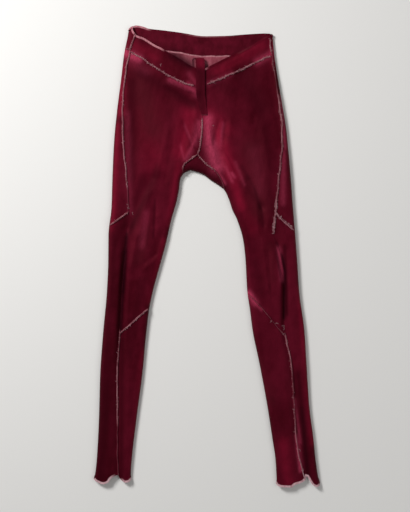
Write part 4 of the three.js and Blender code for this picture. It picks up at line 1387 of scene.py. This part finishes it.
# Fronts: the two largest hides on top, from the waistband's lower seam over the thigh and knee.
# They meet at the centre seam, pass the gusset, and go round the inner fold to the inseam.
CENTRE_FRONT = table("up across", (434, -10.5), (300, -9.5), (258, -13), (234, -20))
centre_front_at = wavering(curve(CENTRE_FRONT, "across"), size=0.6, seed=65)
SEAM_FRONT_UP = 393.5
CROTCH_FRONT_UP = 234


def front_start(leg, row):
    """Start of a front row: on the centre seam, along the gusset round the fold, then the inseam."""
    if row <= ROWS["centre"]:
        top = float(seam_front_at(centre_front_at(SEAM_FRONT_UP)))
        up = mix(top, CROTCH_FRONT_UP, row / ROWS["centre"])
        return row_start(up, centre_front_at(up))
    row -= ROWS["centre"]
    half = ROWS["gusset"] / 2
    edge_up = leg["gusset_wrap"][0]
    if row < half:
        edge = (float(leg["inner_at"](edge_up)), edge_up)
        x, y = through(leg["gusset_front"] + [edge])(row / half)
        return row_start(y, x, fine=row / half)
    if row <= ROWS["gusset"]:
        t = (row - half) / half
        up = through([(0, y) for y in leg["gusset_wrap"]])(t)[1]
        inset = INSEAM_INSET * t * t
        return row_start(up, float(leg["inner_at"](up)) + leg["out"] * inset,
                         wraps=math.ceil(UNDER_COLUMNS * t), inset=inset, fine=1, on_fold=t == 0)
    rest = ROWS["thigh"] + ROWS["knee"] - ROWS["centre"] - ROWS["gusset"]
    up = mix(leg["head_up"], leg["knee_under"], (row - ROWS["gusset"]) / rest)
    return row_start(up, inseam_at(leg, up), wraps=UNDER_COLUMNS, inset=INSEAM_INSET, fine=1)


for name, leg in LEGS.items():
    def front_row(t, bend=None, off=None, leg=leg):
        row = t * (ROWS["thigh"] + ROWS["knee"])
        return inner_row(leg, front_start(leg, row), side_up_at(leg, row), bend, off)

    count = (ROWS["thigh"] + ROWS["knee"]) * FINE
    grid = panel_rows(count, front_row, follow(seam_front_at), knee_waver)
    layers = panel_layers(grid, (turned_up, turned_up, turned_up, open_side(leg)))
    piece = wall_mesh(f"{name}_front", *layers)
    dress(piece, f"front_panel_{name}", crimson)


# Crotch gusset: one diamond of the same hide, darkened all over as painted shade. Its front half shows
# as a chevron between the centre seam's end and the crotch fold, and its back half lies underneath.

# How the rows crowd along the crotch fold and their points under it, how far below the fold's top
# they start, the columns in front and underneath, and the rows to one of a front's.
GUSSET_FOLD_CROWDING = 1.7
GUSSET_UNDER_CROWDING = 1.6
BELOW_CROTCH_TOP = 0.5
GUSSET_COLUMNS = (8, 10)
GUSSET_FINE = 4


def gusset_grid():
    """Rows from the front seam to the back seam, from the diamond's right tip to its left one."""
    front_columns, columns = GUSSET_COLUMNS[0], sum(GUSSET_COLUMNS)

    def half(leg):
        fold_end = leg["gusset_wrap"][0]
        rows = []
        for step in range(ROWS["gusset"] * GUSSET_FINE + 1):
            row = step / GUSSET_FINE
            start = front_start(leg, ROWS["centre"] + row)
            back = gusset_back_at(leg, row / ROWS["gusset"])
            on_top = math.ceil(front_columns * max(1 - row / WRAPS, 0))
            fold_share = min(row / WRAPS, 1) ** GUSSET_FOLD_CROWDING
            fold_up = mix(CROTCH_TOP["up"] - BELOW_CROTCH_TOP, fold_end, fold_share)
            fold = (float(leg["inner_at"](fold_up)), fold_up)
            if step == 0:
                fold = (CROTCH_TOP["inner"], CROTCH_TOP["up"])
            begin = (start["across"], start["up"])
            corner = fold if row <= WRAPS else begin
            line = []
            for k in range(columns + 1):
                if k < on_top:
                    share = 1 - (1 - k / on_top) ** 2
                    ends = (begin, fold)
                else:
                    crowding = GUSSET_UNDER_CROWDING if row <= WRAPS else 1
                    share = ((k - on_top) / (columns - on_top)) ** crowding
                    ends = (corner, back)
                layer = -1 if row > WRAPS else np.sign(on_top - k)
                (x0, y0), (x1, y1) = ends
                line.append((mix(x0, x1, share), mix(y0, y1, share), layer))
            rows.append(line)
        return rows[:-2]

    return np.array(half(LEGS["right"])[::-1] + half(LEGS["left"])[1:], float)


# The gusset's hide is the crimson one darkened to 0.8 as painted shade below the raised crotch seams.
shaded_crimson = hide("dark_crimson_hide", painted_shade_factor=0.8)
layers = panel_layers(gusset_grid(), (butted, butted, turned_up, butted))
gusset_piece = wall_mesh("crotch_diamond", *layers)
dress(gusset_piece, "crotch_gusset", shaded_crimson)


# Waistband: two slanting strips in front that meet in a V, and one strip behind whose ends come
# round the outer folds to the side seams. The upper edge is cut raw and not turned in.
WAIST_BACK = table(
    "across up",
    (-184, 522),
    (-180, 530),
    (-173, 536),
    (-164, 538.5),
    (-150, 536),
    (-134, 530.5),
    (-98, 526.5),
    (-54, 520.5),
    (-4, 513),
    (51, 514),
    (91, 517),
    (138, 519.5),
    (149, 519),
    (157, 514),
)
waist_back_at = curve(WAIST_BACK, "up", "across")
WAIST_FRONT_UP = 433
WAIST_BACK_UP = 513

# At the corner, how far over the front waist seam's end the edge begins, and how fast it rises.
CORNER = dict(over_seam=1, steepness=1.1)


def corner_bend(leg):
    """The waist edge rounds the corner: it rises from the side seam to the outer fold."""
    def bend(x, layer, up, part, edge_part):
        share = smooth(part / edge_part * CORNER["steepness"])
        corner = mix(leg["waist_side"] + CORNER["over_seam"], waist_back_at(x), share)
        return np.where(part < edge_part, corner, waist_back_at(x))
    return bend


band_hide = hide("waistband_hide", deep="39030d", mid="50081a", inside="30030b 560d1f")
halves = {}
for name, leg in LEGS.items():
    def band_front_row(t, bend=None, off=None, leg=leg):
        top = float(waist_front_at(centre_front_at(WAIST_FRONT_UP)))
        low = float(seam_front_at(centre_front_at(SEAM_FRONT_UP)))
        up = mix(top, low, t)
        side_up = mix(leg["waist_side"], leg["seam_side"], t)
        return inner_row(leg, row_start(up, centre_front_at(up)), side_up, bend, off)

    def band_back_row(t, bend=None, off=None, leg=leg):
        top = float(waist_back_at(centre_back_at(WAIST_BACK_UP)))
        low = float(seam_back_at(centre_back_at(SEAM_BACK_UP)))
        up = mix(top, low, t)
        side_up = mix(leg["waist_side"], leg["seam_side"], t)
        return outer_row(leg, side_up, up, float(centre_back_at(up)), bend, off)

    count = ROWS["band"] * FINE
    grid = panel_rows(count, band_front_row, follow(waist_front_at), follow(seam_front_at))
    layers = panel_layers(grid, ("raw", turned_up, butted, open_side(leg)))
    piece = wall_mesh(f"{name}_front_waistband", *layers)
    dress(piece, f"waistband_front_{name}", band_hide)
    halves[name] = panel_rows(count, band_back_row, corner_bend(leg), follow(seam_back_at))
grid = np.concatenate([halves["right"], halves["left"][:, ::-1][:, 1:]], axis=1)
side_seams = (open_side(LEGS["right"]), open_side(LEGS["left"]))
layers = panel_layers(grid, ("raw", turned_in_behind) + side_seams)
piece = wall_mesh("back_waistband", *layers)
dress(piece, "waistband_back", band_hide)


# Front strap: a narrow band of the same hide stitched down the centre front. It turns over the
# waist edge as a loop that stands above the V, and comes down again inside.

# How far the strap lifts off the fronts, the share it starts with and the way it takes, where it
# leaves the fronts and where its loop begins, the loop's own sizes, how many points it has along
# and across, the step between its stretches, how far below the crest it stops following the fronts,
# and how pale its cut end is.
STRAP_LIFT = 1.4
STRAP_RISE = dict(share=0.3, over=90)
STRAP_CREST = 432
STRAP_FOOT = 454
STRAP_LOOP = dict(up=457, middle=6.8, radius=3.4, back=424, aside=-8)
STRAP_STEPS = dict(panel=36, crest=9, turn=13, inside=12, across=14)
STRAP_STEP = 2
PANEL_BELOW_CREST = 4
STRAP_END_RAW = 0.4
# The strap's own marks: a brighter patch on the loop that is partly a painted highlight, darker dye and
# painted shade down its middle, and painted shadow beside the loop's back run and along its right edge.
STRAP_BLOTS = table(
    "kind from_x from_y to_x to_y width amount",
    ("bright", -13, 458, -13, 442, 9, 0.45),
    ("dark", -13, 430, -12, 345, 12, 0.8),
    ("shade", -32, 462, -30, 432, 5, 0.9),
    ("shade", -3, 430, -2, 370, 2, 0.5),
)


def strap_grid():
    """The strap's two faces. From the loop on, its back run slips to the right side of the body."""
    half_wall, loop, steps = WALL / 2, STRAP_LOOP, STRAP_STEPS
    columns, low, crest, foot = steps["across"], STRAP[-1]["up"], STRAP_CREST, STRAP_FOOT
    path = [(up, None, 0) for up in np.linspace(low, crest, steps["panel"])]
    path += [(up, None, 0) for up in np.linspace(crest + STRAP_STEP, foot, steps["crest"])]
    for angle in np.linspace(0, math.pi, steps["turn"]):
        turn_up = loop["up"] + loop["radius"] * math.sin(angle)
        turn_z = loop["middle"] + loop["radius"] * math.cos(angle)
        path.append((turn_up, turn_z, loop["aside"] * angle / math.pi))
    behind = loop["middle"] - loop["radius"]
    inside = np.linspace(foot - STRAP_STEP, loop["back"], steps["inside"])
    path += [(up, behind, loop["aside"]) for up in inside]
    lines = []
    for up, z, aside in path:
        across = strap_across_at(up) + aside + strap_half_at(up) * np.linspace(-1, 1, columns + 1)
        on_front = np.full(columns + 1, min(up, float(crest - PANEL_BELOW_CREST)))
        panel, _, _ = face_points(across, on_front, np.ones(columns + 1))
        lift = STRAP_LIFT * smooth(STRAP_RISE["share"] + (up - low) / STRAP_RISE["over"])
        on_panel = panel[:, 2] + lift + half_wall
        top = mix(on_panel, loop["middle"] + loop["radius"], smooth((up - crest) / (foot - crest)))
        height = top if z is None else 0 * top + z
        lines.append(np.stack([across, np.full(columns + 1, up), height], -1))
    middle = np.array(lines)
    normal = unit(np.cross(np.gradient(middle, axis=1), np.gradient(middle, axis=0)))
    raw = np.zeros((2,) + middle.shape[:2])
    raw[:, 0] = STRAP_END_RAW
    return middle + normal * half_wall, middle - normal * half_wall, raw


strap_hide = hide("strap_hide", deep="33040e", mid="50091b")
strap_piece = wall_mesh("centre_front_strap", *strap_grid(), STRAP_BLOTS)
dress(strap_piece, "front_strap", strap_hide)


# Sewing: pale pink thread through the standing edges of every seam on top, one piece for each seam,
# with short whiskers that stand out where the edges are worn, and a few loose ends.
THREAD_RADIUS = 0.23
STITCH_PITCH = 4.2
STITCH_LENGTH = 2.6
STITCH_UP = 1.8
STITCH_ASIDE = 1.13
STITCH_ENDS = 0.85
STITCH_BOW = 1.1
STITCH_RISE = 0.1
STITCHES_LOST = 0.08
LEAST_TURNED = 0.5
MOST_FAINT = 0.6
THREAD_PINK_AND_HIGHLIGHT = ("96606a", "dcb4b8")
THREAD_TWIST = dict(scale=1400, low=0.35, high=0.65, strength=0.5, depth=0.0002)
THREAD_ROUGHNESS = 0.8

# The least and the most of a whisker's root to the side, reach, way along the seam and drop, and
# where its four points are: shares of those, and their height.
WHISKER_LEAST = (0, 1.4, -2.4, 0.4)
WHISKER_MOST = (0.8, 4.2, 2.4, 1.6)
WHISKER_POINTS = table(
    "reach height drop ahead",
    (0, 2.3, 0, 0),
    (0.4, 2.9, 0, 0.4),
    (0.75, 2.5, 0.5, 0.8),
    (1, 2.3, 1, 1),
)


def thread_dye():
    """Matt pink thread with a painted highlight: paler where it is twisted up to the light."""
    material, nodes, links, shader = new_material("pink_thread")
    twist = nodes.new("ShaderNodeTexNoise")
    twist.inputs["Scale"].default_value = THREAD_TWIST["scale"]
    ramp = nodes.new("ShaderNodeValToRGB")
    for stop, key, code in zip(ramp.color_ramp.elements, ("low", "high"), THREAD_PINK_AND_HIGHLIGHT):
        stop.position = THREAD_TWIST[key]
        stop.color = colour(code)
    bump = nodes.new("ShaderNodeBump")
    bump.inputs["Strength"].default_value = THREAD_TWIST["strength"]
    bump.inputs["Distance"].default_value = THREAD_TWIST["depth"]
    links.new(nodes.new("ShaderNodeTexCoord").outputs["Object"], twist.inputs["Vector"])
    links.new(twist.outputs["Fac"], ramp.inputs["Fac"])
    links.new(twist.outputs["Fac"], bump.inputs["Height"])
    links.new(ramp.outputs["Color"], shader.inputs["Base Color"])
    links.new(bump.outputs["Normal"], shader.inputs["Normal"])
    shader.inputs["Roughness"].default_value = THREAD_ROUGHNESS
    return material


pink_thread = thread_dye()


def sew(name, strands):
    """Thin four-sided tubes along a few points each, joined as one piece."""
    points, faces = [], []
    for strand in strands:
        strand = np.asarray(strand)
        along = unit(np.gradient(strand, axis=0))
        side = unit(np.cross(along, (0.0, 0.0, 1.0)) + (1e-6, 0, 0)) * THREAD_RADIUS
        up = np.cross(side, along)
        first, last = len(points), len(points) + 4 * (len(strand) - 1)
        rings = np.stack([strand + side, strand + up, strand - side, strand - up], 1)
        points.extend(rings.reshape(-1, 3))
        faces.append((first, first + 1, first + 2, first + 3))
        for ring in range(first, last, 4):
            for k in range(4):
                following = (k + 1) % 4
                faces.append((ring + 4 + k, ring + 4 + following, ring + following, ring + k))
        faces.append((last + 3, last + 2, last + 1, last))
    mesh = bpy.data.meshes.new(name)
    mesh.from_pydata((np.array(points) / MM_IN_M).tolist(), [], faces)
    mesh.shade_smooth()
    mesh.materials.append(pink_thread)
    piece = put(name, mesh)
    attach(piece, "root")


def seam_strands(plan, turned, whiskers, seed):
    """Stitches on both sides of a seam and its whiskers, from the seam's points in plan."""
    random = np.random.RandomState(seed)
    plan = np.asarray(plan, float)
    gone = np.concatenate([[0], np.cumsum(np.linalg.norm(np.diff(plan, axis=0), axis=1))])
    count = int(gone[-1])
    even = np.linspace(0, gone[-1], count + 1)
    x, y = (np.interp(even, gone, plan[:, n]) for n in (0, 1))
    on_top = np.stack([x, y, np.ones(count + 1)], -1)
    face, normal, distance = face_points(x, y, on_top[:, 2])
    share = turned(on_top, distance)
    shown = (share > LEAST_TURNED) & (blot_share("faint", x, y) < MOST_FAINT)
    tangent = unit(np.gradient(face, axis=0))
    side = unit(np.cross(normal, tangent))

    def at(d, aside, up, ahead=0):
        def read(grid):
            return np.array([np.interp(d, even, grid[:, n]) for n in range(3)])

        lift = up * np.interp(d, even, share)
        return read(face) + read(normal) * lift + read(side) * aside + read(tangent) * ahead

    strands = []
    for d in np.arange(STITCH_PITCH, even[-1] - STITCH_PITCH, STITCH_PITCH):
        if shown[int(d)] and random.uniform() > STITCHES_LOST:
            for way in (-1, 1):
                aside, bow = way * STITCH_ASIDE * STITCH_ENDS, way * STITCH_ASIDE * STITCH_BOW
                strands.append([at(d, aside, STITCH_UP),
                                at(d + STITCH_LENGTH / 2, bow, STITCH_UP + STITCH_RISE),
                                at(d + STITCH_LENGTH, aside, STITCH_UP)])
    for _ in range(int(whiskers * even[-1])):
        d = random.uniform(2, even[-1] - 2)
        way = random.choice((-1, 1))
        root, reach, ahead, drop = random.uniform(WHISKER_LEAST, WHISKER_MOST)
        if shown[int(d)]:
            strands.append([
                at(d, way * (root + reach * point["reach"]), point["height"] - drop * point["drop"],
                   ahead * point["ahead"])
                for point in WHISKER_POINTS
            ])
    return strands


# How many points each seam's line has.
LINE_POINTS = dict(side=60, knee=30, waist=60, crotch=24, centre=30)


def side_line(leg, high, low):
    """The side seam between two heights."""
    up = np.linspace(high, low, LINE_POINTS["side"])
    return np.stack([leg["side_at"](up), up], 1)


def knee_line(leg, knee, edge_at, inset):
    """A knee seam from the side seam to just short of the fold."""
    first = np.array([float(leg["side_at"](knee["side"])), knee["side"]])
    last = np.array([float(edge_at(knee["edge"])), knee["edge"]])
    line = mix(first, last, np.linspace(0, 1, LINE_POINTS["knee"])[:, None])
    return line[np.abs(line[:, 0] - last[0]) > inset]


# Whiskers for each millimetre of a seam, then which stretch of the waist and crotch seams is sewn,
# and how far short of its ends the sewing of each other seam stops.
WORN = {"right": dict(side=0.12, waist=0.3, outer=0.1, inner=0.1, lower=0.06),
        "left": dict(side=0.25, waist=0.4, outer=0.9, inner=0.2, lower=0.1)}
FRAYED_KNEE = dict(high=130, low=44, whiskers=1.1)
CROTCH_WORN = 0.15
CENTRE_WORN = 0.1
WAIST_SEWN = {"right": (-178, -28), "left": (6, 152)}
CROTCH_SEWN = (0.04, 0.9)
SHORT = dict(waist=4, band=3, knee=2, inner_knee=3, hem=6, crotch=3, strap=8)
for name, leg in LEGS.items():
    worn, turned = WORN[name], open_side(leg)
    seam_side, knee_side = leg["seam_side"], leg["knee_outer"]["side"]
    sides = [(leg["waist_side"] - SHORT["waist"], seam_side + SHORT["band"]),
             (seam_side - SHORT["band"], knee_side + SHORT["knee"])]
    strands = []
    for seed, (high, low) in enumerate(sides, start=71):
        strands += seam_strands(side_line(leg, high, low), turned, worn["side"], seed)
    if name == "left":
        frayed = side_line(leg, FRAYED_KNEE["high"], FRAYED_KNEE["low"])
        strands += seam_strands(frayed, turned, FRAYED_KNEE["whiskers"], seed=75)
    sew(f"{name}_side_thread", strands)
    calf_top = leg["knee_inner"]["side"] - SHORT["inner_knee"]
    lower = side_line(leg, calf_top, leg["hem_side"]["inner"] + SHORT["hem"])
    sew(f"{name}_calf_thread", seam_strands(lower, turned, worn["lower"], seed=76))
    outer_knee = knee_line(leg, leg["knee_outer"], leg["outer_at"], inset=4)
    sew(f"{name}_outer_knee_thread", seam_strands(outer_knee, turned_up, worn["outer"], seed=77))
    inner_knee = knee_line(leg, leg["knee_inner"], leg["inner_at"], inset=4)
    sew(f"{name}_inner_knee_thread", seam_strands(inner_knee, turned_up, worn["inner"], seed=78))
    across = np.linspace(*WAIST_SEWN[name], LINE_POINTS["waist"])
    waist = np.stack([across, seam_front_at(across)], 1)
    sew(f"{name}_waist_thread", seam_strands(waist, turned_up, worn["waist"], seed=79))
    share = np.linspace(*CROTCH_SEWN, LINE_POINTS["crotch"])
    gusset = np.array([through(leg["gusset_front"])(t) for t in share])
    sew(f"{name}_crotch_thread", seam_strands(gusset, turned_up, CROTCH_WORN, seed=80))
high = STRAP[-1]["up"] - SHORT["strap"]
up = np.linspace(CROTCH_FRONT_UP + SHORT["crotch"], high, LINE_POINTS["centre"])
centre = np.stack([centre_front_at(up), up], 1)
sew("centre_front_thread", seam_strands(centre, turned_up, CENTRE_WORN, seed=81))

# Loose ends lie on the hide where a seam stops, each a short bent length. Then how far such a
# length turns and where along it the turn is centred, how high it lies and arches, and its points.
LOOSE_ENDS = table(
    "x y heading length",
    (219.5, -462, 80, 8),
    (-103.5, 446, 200, 6),
    (150, -158, 20, 5),
    (169.5, -163, 130, 8),
    (180.5, -177, 45, 7),
    (183, -170, 100, 6),
    (-171, 99, 230, 6),
    (-125, -121, 40, 5),
    (18, 300, 100, 4),
)
LOOSE_BEND = dict(turn=1.4, centre=0.4, height=0.5, arch=1.1, points=7)


def loose_end(end):
    """A bent length that starts on the hide and arches a little over it."""
    share = np.linspace(0, 1, LOOSE_BEND["points"])
    heading = math.radians(end["heading"]) + LOOSE_BEND["turn"] * (share - LOOSE_BEND["centre"])
    x = end["x"] + end["length"] * share * np.cos(heading)
    y = end["y"] + end["length"] * share * np.sin(heading)
    face, normal, _ = face_points(x, y, np.ones(len(share)))
    height = LOOSE_BEND["height"] + LOOSE_BEND["arch"] * np.sin(math.pi * share)
    return face + normal * height[:, None]


sew("loose_thread_ends", [loose_end(end) for end in LOOSE_ENDS])


# The surface under the garment: a wide, plain, pale, matt sheet that only takes the shadows. It
# lies a hair lower than the underside, so that the two don't share one plane.
FLOOR_HALF = 6.0
FLOOR_LEVEL = -0.0003
FLOOR_TINT = (0.74, 0.73, 0.71, 1)
FLOOR_ROUGHNESS = 0.9
ways = ((-1, -1), (1, -1), (1, 1), (-1, 1))
floor_corners = [(x * FLOOR_HALF, y * FLOOR_HALF, FLOOR_LEVEL) for x, y in ways]
floor_mesh = bpy.data.meshes.new("floor")
floor_mesh.from_pydata(floor_corners, [], [(0, 1, 2, 3)])
floor = put("floor", floor_mesh)
floor_paint, _, _, shader = new_material("pale_floor")
shader.inputs["Base Color"].default_value = FLOOR_TINT
shader.inputs["Roughness"].default_value = FLOOR_ROUGHNESS
floor_mesh.materials.append(floor_paint)


# The camera looks straight down on the garment from 3 m, with the waist at the top of the picture.
# The picture is 410 by 512 and one of its pixels is 2.35 mm on the surface.
PICTURE = (410, 512)
PIXEL_MM = 2.35
CAMERA_HEIGHT = 3.0
CAMERA_OVER = (-0.0024, -0.0035)
SENSOR_MM = 24
camera_data = bpy.data.cameras.new("overhead_camera")
camera_data.sensor_fit = "VERTICAL"
camera_data.sensor_height = SENSOR_MM
camera_data.lens = SENSOR_MM * CAMERA_HEIGHT * MM_IN_M / (PICTURE[1] * PIXEL_MM)
camera = put("overhead_camera", camera_data)
camera.location = (*CAMERA_OVER, CAMERA_HEIGHT)
bpy.context.scene.camera = camera
bpy.context.scene.view_settings.view_transform = "Standard"


# Studio light: one large soft source over the upper left, a weaker and wider one from the right,
# and a little even light from all round.
ROOM_LIGHT = 0.22
LIGHTS = table(
    "name x y z size power",
    ("key_light", -1.7, 1.5, 1.9, 0.9, 88),
    ("fill_light", 2.0, -0.9, 2.4, 2.0, 20),
)
for spec in LIGHTS:
    data = bpy.data.lights.new(spec["name"], "AREA")
    data.size = spec["size"]
    data.energy = spec["power"]
    light = put(spec["name"], data)
    light.location = (spec["x"], spec["y"], spec["z"])
    aim = light.location.normalized()
    light.rotation_euler = aim.to_track_quat("Z", "Y").to_euler()
world = bpy.data.worlds.new("soft_room")
world.use_nodes = True
room = world.node_tree.nodes["Background"]
room.inputs["Color"].default_value = (1, 1, 1, 1)
room.inputs["Strength"].default_value = ROOM_LIGHT
bpy.context.scene.world = world
